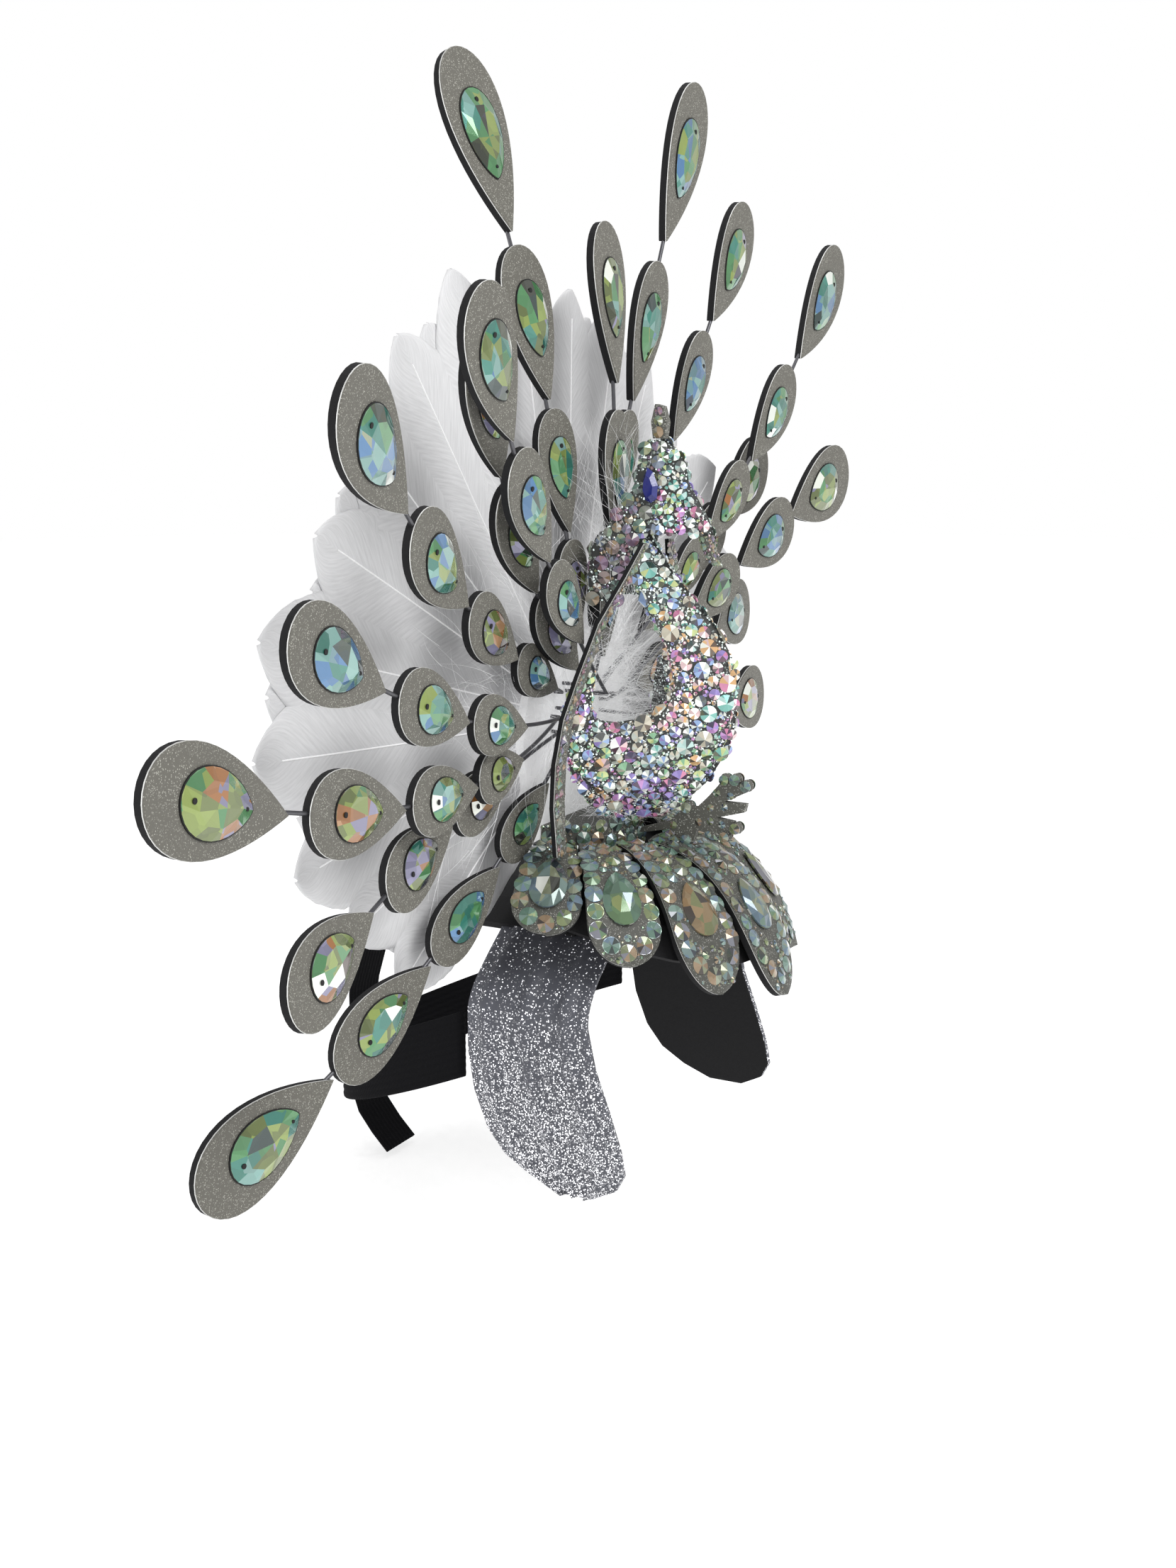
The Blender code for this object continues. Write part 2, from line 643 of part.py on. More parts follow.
# front ornament: a stem with a cross band and two leaves, pointing forward
ORNAMENT = ((-44, 22.6), (-60, 26), (-66, 22), (-72, 21), (-74, 27), (-86, 25),
            (-90, 28), (-93, 33), (-84, 34), (-98, 38), (-99, 42), (-88, 42),
            (-100, 48), (-97, 51), (-92, 52), (-86, 51), (-80, 44), (-74, 38),
            (-71, 38), (-67, 37), (-60, 30), (-45, 25.2))


def bead(name, centre, radius, key):
    """Round bead with ten sides."""
    mesh = bpy.data.meshes.new(name)
    work = bmesh.new()
    bmesh.ops.create_uvsphere(work, u_segments=10, v_segments=5, radius=radius * MM)
    bmesh.ops.translate(work, verts=work.verts, vec=Vector(centre) * MM)
    work.to_mesh(mesh)
    work.free()
    rgb, rough = COLOURS[key]
    mesh.materials.append(material(name + "." + key, rgb, rough, 0.0))
    obj = bpy.data.objects.new(name, mesh)
    PARTS.objects.link(obj)
    return obj


parts = [solid("front_ornament", ORNAMENT, -1.6, 1.6, "taupe_glitter")]
for number, (y, z, size) in enumerate(((-99, 50.5, 3.0), (-93.5, 53, 3.0),
                                       (-88, 52.5, 3.0), (-94, 30, 3.0),
                                       (-88.5, 25.5, 3.0), (-69, 37.5, 3.2),
                                       (-69, 22, 3.2))):
    parts.append(bead("bead_%d" % number, (0, y, z), size, "crystal"))
join_solids("front_ornament", parts, ["taupe_glitter", "crystal"])
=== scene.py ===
"""Looks of the carnival headdress, a Blender add-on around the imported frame."""
import math
import random

import bmesh
import bpy
import numpy as np
from mathutils import Matrix, Vector


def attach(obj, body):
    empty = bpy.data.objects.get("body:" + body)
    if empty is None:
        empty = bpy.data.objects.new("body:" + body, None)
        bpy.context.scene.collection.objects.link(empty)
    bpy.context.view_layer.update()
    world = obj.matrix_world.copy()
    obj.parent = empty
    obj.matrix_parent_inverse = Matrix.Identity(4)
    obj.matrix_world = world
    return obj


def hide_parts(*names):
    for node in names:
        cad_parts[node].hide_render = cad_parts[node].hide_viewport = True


bl_info = {
    "name": "Carnival headdress",
    "version": (1, 0, 0),
    "blender": (4, 5, 0),
    "location": "View3D > Sidebar > Headdress",
    "description": "Builds the visible pieces of the headdress over its packed frame",
    "category": "Object",
}

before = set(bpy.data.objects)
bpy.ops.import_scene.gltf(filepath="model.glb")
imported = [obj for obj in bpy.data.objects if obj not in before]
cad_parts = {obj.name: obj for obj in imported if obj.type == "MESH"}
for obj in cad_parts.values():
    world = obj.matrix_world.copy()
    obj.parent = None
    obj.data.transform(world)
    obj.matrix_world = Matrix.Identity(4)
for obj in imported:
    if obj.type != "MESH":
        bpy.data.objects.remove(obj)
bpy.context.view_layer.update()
MM = 0.001

# the wires, as in the part: end, middle's bow, drop lengths, root y, in millimetres
LONG, SHORT = (80.0, 68.0, 57.0, 46.0), (72.0, 61.0, 52.0)
WIRES = {
    "centre": ((0, -26, 268), (0, -6, -8), SHORT, -20),
    "right_1": ((-56, 7, 335), (-5, -12, -1), LONG, -12),
    "right_2": ((-144, -50, 240), (-3, 2, -7), SHORT, -31),
    "right_3": ((-120, -34, 225), (-5, 5, -5), SHORT, -22),
    "right_4": ((-220, -45, 210), (0, 5, -10), LONG, -13),
    "right_5": ((-240, -40, 135), (5, 0, -15), SHORT, -22),
    "right_6": ((-305, -35, 95), (10, -5, -20), LONG, -13),
    "right_7": ((-235, -30, 20), (10, 5, 5), SHORT, -13),
    "right_8": ((-228, 9, -61), (4, -3, -11), LONG, -14),
    "left_1": ((75, -26, 335), (-10, -1, -5), LONG, -12),
    "left_2": ((125, -30, 290), (-10, -5, 0), SHORT, -13),
    "left_3": ((252, -29, 273), (1, -2, -16), LONG, -14),
    "left_4": ((203, -6, 176), (3, -1, 2), SHORT, -12),
    "left_5": ((250, -32, 170), (5, 0, 5), LONG[:3], -22),
    "left_6": ((210, 4, 100), (1, -3, 0), SHORT, -13),
    "left_7": ((222, 0, 50), (2, -3, -6), SHORT, -13),
    "left_8": ((205, -2, -65), (10, -4, -10), LONG, -13),
}
HUB_Z, ROOT_RADIUS, DROP_GAP = 78.0, 25.0, 4.0
DROP_SLIM, STONE_SHARE, STONE_SLIM, STONE_RISE = 0.50, 0.49, 0.64, 3.0
DROP_THICK = 4.6
PLATE_FRONT_Y = -8.8
WIRE_RADIUS, QUILL_RADIUS = 0.9, 0.4
HOLES = ((0.36, 1.15), (-0.38, 0.8))  # place along a drop stone, radius
DROP_FACE_WAY = (0.10, -1.0, 0.05)  # its x is to the drop's own side
SIDES = ((-1, "right"), (1, "left"))

# ---- shader groups: they put out colours, masks and heights only


def new_group(name, inputs, outputs):
    """Shader group; inputs are label and default, a colour where it has four parts."""
    group = bpy.data.node_groups.new(name, "ShaderNodeTree")
    for label, value in inputs:
        kind = "NodeSocketColor" if isinstance(value, tuple) else "NodeSocketFloat"
        group.interface.new_socket(
            label, in_out="INPUT", socket_type=kind).default_value = value
    for label, kind in outputs:
        group.interface.new_socket(label, in_out="OUTPUT", socket_type=kind)
    return group, add(group, "NodeGroupInput").outputs, add(group, "NodeGroupOutput")


def feed(tree, socket, value):
    """Links an output to the socket, or sets a constant on it."""
    if isinstance(value, bpy.types.NodeSocket):
        tree.links.new(value, socket)
    else:
        socket.default_value = value


def add(tree, kind, **values):
    """A node with its inputs fed; a space in a label is written as an underscore."""
    node = tree.nodes.new(kind)
    for label, value in values.items():
        feed(tree, node.inputs[label.replace("_", " ")], value)
    return node


def maths(tree, operation, *operands):
    node = tree.nodes.new("ShaderNodeMath")
    node.operation = operation
    for socket, value in zip(node.inputs, operands):
        feed(tree, socket, value)
    return node.outputs[0]


def object_coords(tree):
    return tree.nodes.new("ShaderNodeTexCoord").outputs["Object"]


def mixed(tree, factor, first, second):
    node = tree.nodes.new("ShaderNodeMix")
    node.data_type = "RGBA"
    for label, value in (("Factor", factor), ("A", first), ("B", second)):
        feed(tree, node.inputs[label], value)
    return node.outputs["Result"]


def random_cells(tree, scale):
    """Voronoi cells, each with three chances of its own."""
    cells = add(tree, "ShaderNodeTexVoronoi", Vector=object_coords(tree), Scale=scale)
    split = add(tree, "ShaderNodeSeparateColor", Color=cells.outputs["Color"])
    return cells.outputs["Distance"], split.outputs


def glitter_group():
    """Flecks: the cells of a Voronoi pattern, some of them bright; the brightest also
    give the Glow, a painted glint.
    """
    group, into, out = new_group(
        "Glitter",
        [("Ground", (0.2, 0.2, 0.2, 1)), ("Fleck", (0.9, 0.9, 0.9, 1)),
         ("Cells per metre", 900.0), ("Share of flecks", 0.3), ("Fleck size", 0.45),
         ("Spark", 1.0)],
        [("Color", "NodeSocketColor"), ("Glow", "NodeSocketColor"),
         ("Height", "NodeSocketFloat")])
    away, chance = random_cells(group, into["Cells per metre"])
    least = maths(group, "SUBTRACT", 1.0, into["Share of flecks"])
    chosen = maths(group, "GREATER_THAN", chance["Red"], least)
    near = maths(group, "LESS_THAN", away, into["Fleck size"])
    mask = maths(group, "MULTIPLY", chosen, near)
    level = maths(group, "MULTIPLY", mask, chance["Green"])
    # painted glint: the brightest flecks, fed out as Glow for the emission
    bright = maths(group, "MULTIPLY", mask,
                   maths(group, "GREATER_THAN", chance["Green"], 0.6))
    spark = maths(group, "MULTIPLY", bright, into["Spark"])
    feed(group, out.inputs["Color"], mixed(group, level, into["Ground"], into["Fleck"]))
    feed(group, out.inputs["Glow"], mixed(group, spark, (0, 0, 0, 1), into["Fleck"]))
    feed(group, out.inputs["Height"], maths(group, "MULTIPLY", chance["Blue"], mask))
    return group


def crystal_group(name, stops):
    """Rainbow-coated crystal: hue by stone, with painted dark reflections and painted
    highlights on facets by chance, and painted shade in random cells.
    """
    group, into, out = new_group(
        name,
        [("Variety", 0.2), ("Dark share", 0.2), ("Bright share", 0.15),
         ("Dullness", 0.0), ("Depth", 0.25), ("Depth scale", 300.0),
         ("Dull tone", (0.2, 0.2, 0.17, 1))],
        [("Color", "NodeSocketColor")])
    fire, tint = (group.nodes.new("ShaderNodeAttribute") for _ in range(2))
    fire.attribute_name, tint.attribute_name = "fire", "tint"
    fire = fire.outputs["Fac"]
    _, broken = random_cells(group, into["Depth scale"])
    hue = maths(group, "MULTIPLY_ADD", fire, into["Variety"], tint.outputs["Fac"])
    hue = maths(group, "MULTIPLY_ADD", broken["Red"], into["Depth"], hue)
    ramp = add(group, "ShaderNodeValToRGB", Fac=maths(group, "FRACT", hue))
    ramp.color_ramp.interpolation = "CONSTANT"
    ramp.color_ramp.elements.remove(ramp.color_ramp.elements[1])
    ramp.color_ramp.elements[0].color = (*stops[0], 1)
    for k, rgb in enumerate(stops[1:], 1):
        ramp.color_ramp.elements.new(k / len(stops)).color = (*rgb, 1)
    # facets picked by chance for painted dark reflections and painted highlights
    chance = maths(group, "FRACT", maths(group, "MULTIPLY", fire, 7.13))
    dark = maths(group, "LESS_THAN", chance, into["Dark share"])
    bright = maths(group, "GREATER_THAN", chance,
                   maths(group, "SUBTRACT", 1.0, into["Bright share"]))
    # painted shade: random cells darkened by Depth
    shade = maths(group, "MULTIPLY", broken["Green"], into["Depth"])
    tone = mixed(group, into["Dullness"], ramp.outputs["Color"], into["Dull tone"])
    # near-black facets are painted dark reflections, the darkened cells painted shade,
    # the pale facets painted highlights
    for mask, share, rgb in ((dark, 0.86, (0.02, 0.02, 0.025)),
                             (shade, 3.0, (0.03, 0.035, 0.03)),
                             (bright, 0.85, (0.92, 0.94, 0.88))):
        tone = mixed(group, maths(group, "MULTIPLY", mask, share), tone, (*rgb, 1))
    feed(group, out.inputs["Color"], tone)
    return group


def weave_group():
    """Fine ribs across the elastic, for its height."""
    group, into, out = new_group("Ribs", [("Ribs scale", 260.0)],
                                 [("Height", "NodeSocketFloat")])
    wave = add(group, "ShaderNodeTexWave", Vector=object_coords(group),
               Scale=into["Ribs scale"])
    wave.bands_direction = "DIAGONAL"
    feed(group, out.inputs["Height"], wave.outputs["Fac"])
    return group


GROUPS, FINISHES = {}, {}
BREAST_TONES = ((0.42, 0.46, 0.40), (0.16, 0.42, 0.20), (0.50, 0.58, 0.18),
                (0.05, 0.36, 0.30), (0.40, 0.62, 0.58), (0.60, 0.64, 0.58),
                (0.20, 0.34, 0.66), (0.20, 0.11, 0.48), (0.46, 0.16, 0.52),
                (0.56, 0.10, 0.28), (0.66, 0.42, 0.44), (0.70, 0.36, 0.10),
                (0.56, 0.50, 0.38))
PEAR_TONES = ((0.15, 0.19, 0.06), (0.27, 0.35, 0.09), (0.09, 0.28, 0.11),
              (0.05, 0.23, 0.18), (0.22, 0.42, 0.38), (0.09, 0.22, 0.42),
              (0.16, 0.30, 0.34), (0.34, 0.38, 0.26), (0.22, 0.24, 0.09),
              (0.46, 0.26, 0.13), (0.34, 0.14, 0.04), (0.24, 0.23, 0.36))


def start_material(name, rough, metal=0.0, coat=0.0, specular=0.5):
    mat = bpy.data.materials.new(name)
    mat.use_nodes = True
    tree = mat.node_tree
    tree.nodes.clear()
    shader = add(tree, "ShaderNodeBsdfPrincipled", Roughness=rough, Metallic=metal,
                 Coat_Weight=coat, Coat_Roughness=0.05, Specular_IOR_Level=specular)
    add(tree, "ShaderNodeOutputMaterial", Surface=shader.outputs["BSDF"])
    FINISHES[name] = mat
    return tree, shader


def use_group(tree, group, **values):
    node = tree.nodes.new("ShaderNodeGroup")
    node.node_tree = GROUPS[group]
    for label, value in values.items():
        feed(tree, node.inputs[label.replace("_", " ")], value)
    return node


def bumped(tree, shader, height, strength, distance):
    bump = add(tree, "ShaderNodeBump", Strength=strength, Distance=distance,
               Height=height)
    feed(tree, shader.inputs["Normal"], bump.outputs["Normal"])


def glitter(name, glow, share_by_height=None, **values):
    """Glitter foam; share_by_height: two heights, then the share of flecks at each."""
    tree, shader = start_material(name, 0.55, specular=0.35)
    if share_by_height:
        place = add(tree, "ShaderNodeSeparateXYZ", Vector=object_coords(tree))
        ranged = add(tree, "ShaderNodeMapRange", Value=place.outputs["Z"])
        for k, value in enumerate(share_by_height, 1):
            ranged.inputs[k].default_value = value
        values["Share_of_flecks"] = ranged.outputs["Result"]
    node = use_group(tree, "glitter", **values)
    feed(tree, shader.inputs["Base Color"], node.outputs["Color"])
    # the flecks' Glow on the emission is a painted glint
    feed(tree, shader.inputs["Emission Color"], node.outputs["Glow"])
    shader.inputs["Emission Strength"].default_value = glow
    bumped(tree, shader, node.outputs["Height"], 0.4, 0.0005)


def crystal(name, group, glow, **values):
    tree, shader = start_material(name, 0.12, metal=0.3, coat=1.0)
    node = use_group(tree, group, **values)
    for label in ("Base Color", "Emission Color"):
        feed(tree, shader.inputs[label], node.outputs["Color"])
    # painted light: the stones glow in their own colour
    shader.inputs["Emission Strength"].default_value = glow


def grained(name, rgb, rough, metal=0.0, coat=0.0, specular=0.5, scale=900.0,
            strength=0.2, glow=0.0):
    """Plain tone with a fine grain that moves its colour and height a little."""
    tree, shader = start_material(name, rough, metal, coat, specular)
    # glow: white emission; even brightness on the floor, painted light on the fluff
    if glow:
        shader.inputs["Emission Color"].default_value = (1, 1, 1, 1)
        shader.inputs["Emission Strength"].default_value = glow
    noise = add(tree, "ShaderNodeTexNoise", Scale=scale, Detail=3.0,
                Vector=object_coords(tree))
    dark, light = ((*[min(1.0, c * k) for c in rgb], 1) for k in (0.8, 1.2))
    feed(tree, shader.inputs["Base Color"],
         mixed(tree, noise.outputs["Fac"], dark, light))
    if strength:
        bumped(tree, shader, noise.outputs["Fac"], strength, 0.0004)
    return tree, shader


def feather_finish(tone):
    """Vane with fine slanting barbs: u runs across it, v from root to tip."""
    tree, shader = start_material("feather", 0.9, specular=0.2)
    shader.inputs["Sheen Weight"].default_value = 0.2
    uv = tree.nodes.new("ShaderNodeUVMap")
    uv.uv_map = "UVMap"
    place = add(tree, "ShaderNodeSeparateXYZ", Vector=uv.outputs["UV"]).outputs
    across = maths(tree, "ABSOLUTE", place["X"])
    lines = add(tree, "ShaderNodeCombineXYZ",
                X=maths(tree, "MULTIPLY_ADD", across, -0.16, place["Y"]),
                Y=maths(tree, "MULTIPLY", place["X"], 0.02))
    barbs = tree.nodes.new("ShaderNodeTexNoise")
    barbs.noise_dimensions = "2D"
    for label, value in (("Scale", 150.0), ("Detail", 5.0),
                         ("Vector", lines.outputs[0])):
        feed(tree, barbs.inputs[label], value)
    ramp = add(tree, "ShaderNodeValToRGB", Fac=barbs.outputs["Fac"])
    for stop, position, shade in zip(ramp.color_ramp.elements, (0.25, 0.7), (0.86, 1)):
        stop.position = position
        stop.color = (*[shade * c for c in tone], 1)
    feed(tree, shader.inputs["Base Color"], ramp.outputs["Color"])
    bumped(tree, shader, barbs.outputs["Fac"], 0.25, 0.0008)


def make_finishes(colours):
    GROUPS["glitter"] = glitter_group()
    GROUPS["breast"] = crystal_group("CrystalPaving", BREAST_TONES)
    GROUPS["pear"] = crystal_group("CrystalDrop", PEAR_TONES)
    GROUPS["ribs"] = weave_group()
    taupe, slate = tuple(colours.taupe), tuple(colours.slate)
    # glitter finishes: the glow number sets the strength of the painted glints on the
    # flecks
    glitter("taupe", 0.15, Ground=(*taupe, 1), Fleck=(0.40, 0.395, 0.35, 1),
            Cells_per_metre=1800.0, Share_of_flecks=0.45, Spark=0.35)
    glitter("petal_grey", 0.2, Ground=(0.080, 0.080, 0.070, 1),
            Fleck=(0.34, 0.34, 0.31, 1), Cells_per_metre=1700.0, Share_of_flecks=0.4,
            Spark=0.4)
    # flecks grow denser towards the bottom of the flap and carry the strongest painted
    # glints
    glitter("slate", 0.75, share_by_height=(-0.03, -0.110, 0.16, 0.80),
            Ground=(*slate, 1), Fleck=(0.93, 0.93, 0.96, 1), Cells_per_metre=1500.0,
            Fleck_size=0.52, Spark=1.0)
    glitter("dim_silver", 0.15, Ground=(0.115, 0.115, 0.10, 1),
            Fleck=(0.5, 0.5, 0.46, 1), Cells_per_metre=1600.0, Share_of_flecks=0.45)
    glitter("dark_sparkle", 0.7, Ground=(0.045, 0.047, 0.045, 1),
            Fleck=(0.75, 0.85, 0.82, 1), Cells_per_metre=1000.0, Share_of_flecks=0.5,
            Fleck_size=0.5)
    # the glow of each crystal finish is painted light
    crystal("paving", "breast", 0.34, Variety=0.17, Dark_share=0.26, Bright_share=0.16,
            Dullness=0.24, Dull_tone=(0.46, 0.50, 0.48, 1), Depth=0.03,
            Depth_scale=250.0)
    crystal("paving_dull", "breast", 0.05, Variety=0.12, Dark_share=0.12,
            Bright_share=0.02, Dullness=0.70, Depth=0.03)
    crystal("petal_stone", "pear", 0.05, Variety=0.30, Dark_share=0.14,
            Bright_share=0.02, Dullness=0.50, Dull_tone=(0.22, 0.24, 0.19, 1),
            Depth=0.05)
    crystal("drop_stone", "pear", 0.10, Variety=0.36, Dark_share=0.08,
            Bright_share=0.05, Depth=0.12, Depth_scale=130.0)
    crystal("petal_drop_stone", "pear", 0.03, Variety=0.22, Dark_share=0.10,
            Bright_share=0.02, Dullness=0.50, Dull_tone=(0.17, 0.18, 0.10, 1),
            Depth=0.12, Depth_scale=150.0)
    grained("foam", (0.013, 0.013, 0.014), 0.85, specular=0.25)
    grained("silver_line", (0.72, 0.72, 0.70), 0.35, metal=0.4)
    grained("wire", (0.12, 0.12, 0.13), 0.35, metal=0.8, scale=300.0)
    # painted shade: near-black, for the shadow rims and the sewing holes
    grained("painted_shade", (0.02, 0.02, 0.02), 0.6, specular=0.2)
    grained("navy", (0.010, 0.016, 0.19), 0.15, coat=0.8)
    # the fluff glows: painted light on the down, the quills and the fan plate
    grained("fluff", (0.80, 0.80, 0.81), 0.95, specular=0.1, glow=0.22)
    tree, shader = grained("elastic", (0.006, 0.006, 0.007), 1.0, specular=0.12,
                           strength=0.0)
    ribs = use_group(tree, "ribs", Ribs_scale=260.0)
    bumped(tree, shader, ribs.outputs["Height"], 0.3, 0.0003)
    feather_finish(tuple(colours.feather))


# ---- shared shapes


def mesh_object(name, verts, faces, finishes=(), slots=None, smooth=False, uvs=None):
    """A piece from points in millimetres."""
    mesh = bpy.data.meshes.new(name)
    mesh.from_pydata([tuple(c * MM for c in v) for v in verts], [], faces)
    for finish in finishes:
        mesh.materials.append(FINISHES[finish])
    if slots is not None:
        mesh.polygons.foreach_set("material_index", slots)
    if uvs is not None:
        layer = mesh.uv_layers.new(name="UVMap")
        flat = [c for loop in mesh.loops for c in uvs[loop.vertex_index]]
        layer.data.foreach_set("uv", flat)
    mesh.polygons.foreach_set("use_smooth", [smooth] * len(mesh.polygons))
    mesh.update()
    obj = bpy.data.objects.new(name, mesh)
    bpy.context.collection.objects.link(obj)
    return obj


def point_outwards(obj):
    work = bmesh.new()
    work.from_mesh(obj.data)
    bmesh.ops.recalc_face_normals(work, faces=work.faces)
    work.to_mesh(obj.data)
    work.free()


def pear(length, width, sides, blunt):
    rows = []
    for i in range(sides):
        t = 2 * math.pi * i / sides
        rows.append((-math.cos(t), math.sin(t) * abs(math.sin(t / 2)) ** blunt))
    wide = max(abs(r[1]) for r in rows)
    return [(r[0] * length / 2, r[1] * width / 2 / wide) for r in rows]


def basis(along, face):
    x = Vector(along).normalized()
    z = (Vector(face) - x * Vector(face).dot(x)).normalized()
    return Matrix((x, z.cross(x), z)).transposed()


def rings_solid(name, rings):
    """Closed solid from rings of equal count, lowest first."""
    count = len(rings[0])
    verts = [v for ring in rings for v in ring]
    faces = [tuple(reversed(range(count)))]
    for k in range(len(rings) - 1):
        for i in range(count):
            j = (i + 1) % count
            a, b = k * count, (k + 1) * count
            faces.append((a + i, a + j, b + j, b + i))
    last = (len(rings) - 1) * count
    faces.append(tuple(range(last, last + count)))
    return mesh_object(name, verts, faces)


def unit_drop(name, levels, sides):
    """Part of a drop of length 1: levels are height in millimetres and inset."""
    rings = []
    for height, inset in levels:
        outline = pear(1000 - 2 * inset, 1000 * DROP_SLIM - 2 * inset, sides, 1.0)
        rings.append([(x, y, height) for x, y in outline])
    return rings_solid(name, rings)


def circle(radius, count, height):
    return [(radius * math.cos(2 * math.pi * i / count),
             radius * math.sin(2 * math.pi * i / count), height)
            for i in range(count)]


def round_gem():
    """Pointed round stone of radius 1: eight facets meet in its middle."""
    verts = circle(1000, 16, -100) + circle(1000, 16, 120) + [(0, 0, 620)]
    faces = [tuple(reversed(range(16)))]
    for i in range(16):
        j = (i + 1) % 16
        faces.append((i, j, 16 + j, 16 + i))
        if i % 2 == 0:
            faces.append((16 + i, 16 + j, 16 + (i + 2) % 16, 32))
    return mesh_object("round_gem", verts, faces)


def small_gem():
    """Small stone of radius 1: six sides, six facets and a table."""
    return rings_solid("small_gem", [circle(1000, 6, -100), circle(1000, 6, 150),
                                     circle(500, 6, 600)])


def pear_gem():
    """Sew-on stone of length 1: nine broad crown facets and five on top."""
    outer = pear(1000.0, 1000.0 * STONE_SLIM, 27, 0.45)
    mid = pear(620.0, 620.0 * STONE_SLIM, 9, 0.45)
    verts = [(x, y, -20) for x, y in outer] + [(x, y, 250) for x, y in outer]
    verts += [(x, y, 840) for x, y in mid] + [(-60, 20, 1000)]
    faces = [tuple(reversed(range(27)))]
    for i in range(27):
        j = (i + 1) % 27
        faces.append((i, j, 27 + j, 27 + i))
    for i in range(9):
        j = (i + 1) % 9
        edge = [27 + (3 * i + k) % 27 for k in range(4)]
        faces.append((*edge, 54 + j, 54 + i))
    for first, last in ((0, 2), (2, 4), (4, 5), (5, 7), (7, 9)):
        faces.append(tuple([54 + k % 9 for k in range(first, last + 1)] + [63]))
    return mesh_object("pear_gem", verts, faces)


def strand():
    """Barb of length 1 along Z, bent towards X and tapered, three-sided."""
    rings = []
    for k in range(7):
        s = k / 6
        half = 3.2 * (1 - 0.85 * s)
        rings.append([(1000 * 0.22 * s * s + half * math.cos(2.094 * i),
                       half * math.sin(2.094 * i), 1000 * s) for i in range(3)])
    return rings_solid("strand", rings)


TREES = {}


def named_value(tree, name, kind):
    node = tree.nodes.new("GeometryNodeInputNamedAttribute")
    node.data_type = kind
    node.inputs["Name"].default_value = name
    return node.outputs["Attribute"]


def geometry_tree(name, inputs):
    """Geometry tree with named inputs, its own nodes still to come."""
    tree = bpy.data.node_groups.new(name, "GeometryNodeTree")
    for way in ("INPUT", "OUTPUT"):
        tree.interface.new_socket("Geometry", in_out=way,
                                  socket_type="NodeSocketGeometry")
    ids = {}
    for label, kind in (*inputs, ("Finish", "NodeSocketMaterial")):
        ids[label] = tree.interface.new_socket(label, in_out="INPUT",
                                               socket_type=kind).identifier
    TREES[name] = (tree, ids)
    return tree, add(tree, "NodeGroupInput").outputs


def end_tree(tree, into, geometry):
    """The tree's last nodes: the finish and the output."""
    paint = add(tree, "GeometryNodeSetMaterial", Material=into["Finish"],
                Geometry=geometry)
    add(tree, "NodeGroupOutput", Geometry=paint.outputs["Geometry"])


def copies_tree():
    """Copies of a shape on points that carry its turn, its size and its tint."""
    tree, into = geometry_tree("CopiesOnPoints", (
        ("Shape", "NodeSocketObject"), ("Seed", "NodeSocketInt")))
    shape = add(tree, "GeometryNodeObjectInfo", Object=into["Shape"])
    turn = tree.nodes.new("FunctionNodeEulerToRotation")
    feed(tree, turn.inputs[0], named_value(tree, "turn", "FLOAT_VECTOR"))
    place = add(tree, "GeometryNodeInstanceOnPoints", Points=into["Geometry"],
                Instance=shape.outputs["Geometry"], Rotation=turn.outputs[0],
                Scale=named_value(tree, "size", "FLOAT_VECTOR"))
    real = add(tree, "GeometryNodeRealizeInstances",
               Geometry=place.outputs["Instances"])
    chance = tree.nodes.new("FunctionNodeRandomValue")
    chance.data_type = "FLOAT"
    feed(tree, chance.inputs["Seed"], into["Seed"])
    store = tree.nodes.new("GeometryNodeStoreNamedAttribute")
    store.data_type, store.domain = "FLOAT", "FACE"
    for label, value in (("Name", "fire"), ("Geometry", real.outputs["Geometry"]), (
            "Value", [o for o in chance.outputs if o.type == "VALUE"][0])):
        feed(tree, store.inputs[label], value)
    end_tree(tree, into, store.outputs["Geometry"])


def tubes_tree():
    """Round tube along every line of edges."""
    tree, into = geometry_tree("TubesOnLines", (
        ("Radius", "NodeSocketFloat"), ("Sides", "NodeSocketInt")))
    lines = add(tree, "GeometryNodeMeshToCurve", Mesh=into["Geometry"])
    ring = add(tree, "GeometryNodeCurvePrimitiveCircle", Radius=into["Radius"],
               Resolution=into["Sides"])
    tube = add(tree, "GeometryNodeCurveToMesh", Fill_Caps=True,
               Curve=lines.outputs["Curve"], Profile_Curve=ring.outputs["Curve"])
    real = add(tree, "GeometryNodeRealizeInstances", Geometry=tube.outputs["Mesh"])
    end_tree(tree, into, real.outputs["Geometry"])


def evaluated_mesh(obj):
    bpy.context.view_layer.update()
    graph = bpy.context.evaluated_depsgraph_get()
    return bpy.data.meshes.new_from_object(obj.evaluated_get(graph))


def grow(name, mesh, tree_name, smooth, values):
    """Runs a geometry tree on a mesh and keeps the result as a plain piece."""
    holder = bpy.data.objects.new(name + "_seed", mesh)
    bpy.context.collection.objects.link(holder)
    tree, ids = TREES[tree_name]
    step = holder.modifiers.new("grow", "NODES")
    step.node_group = tree
    for label, value in values.items():
        step[ids[label]] = value
    made = evaluated_mesh(holder)
    made.name = name
    made.polygons.foreach_set("use_smooth", [smooth] * len(made.polygons))
    obj = bpy.data.objects.new(name, made)
    bpy.context.collection.objects.link(obj)
    bpy.data.objects.remove(holder, do_unlink=True)
    return obj


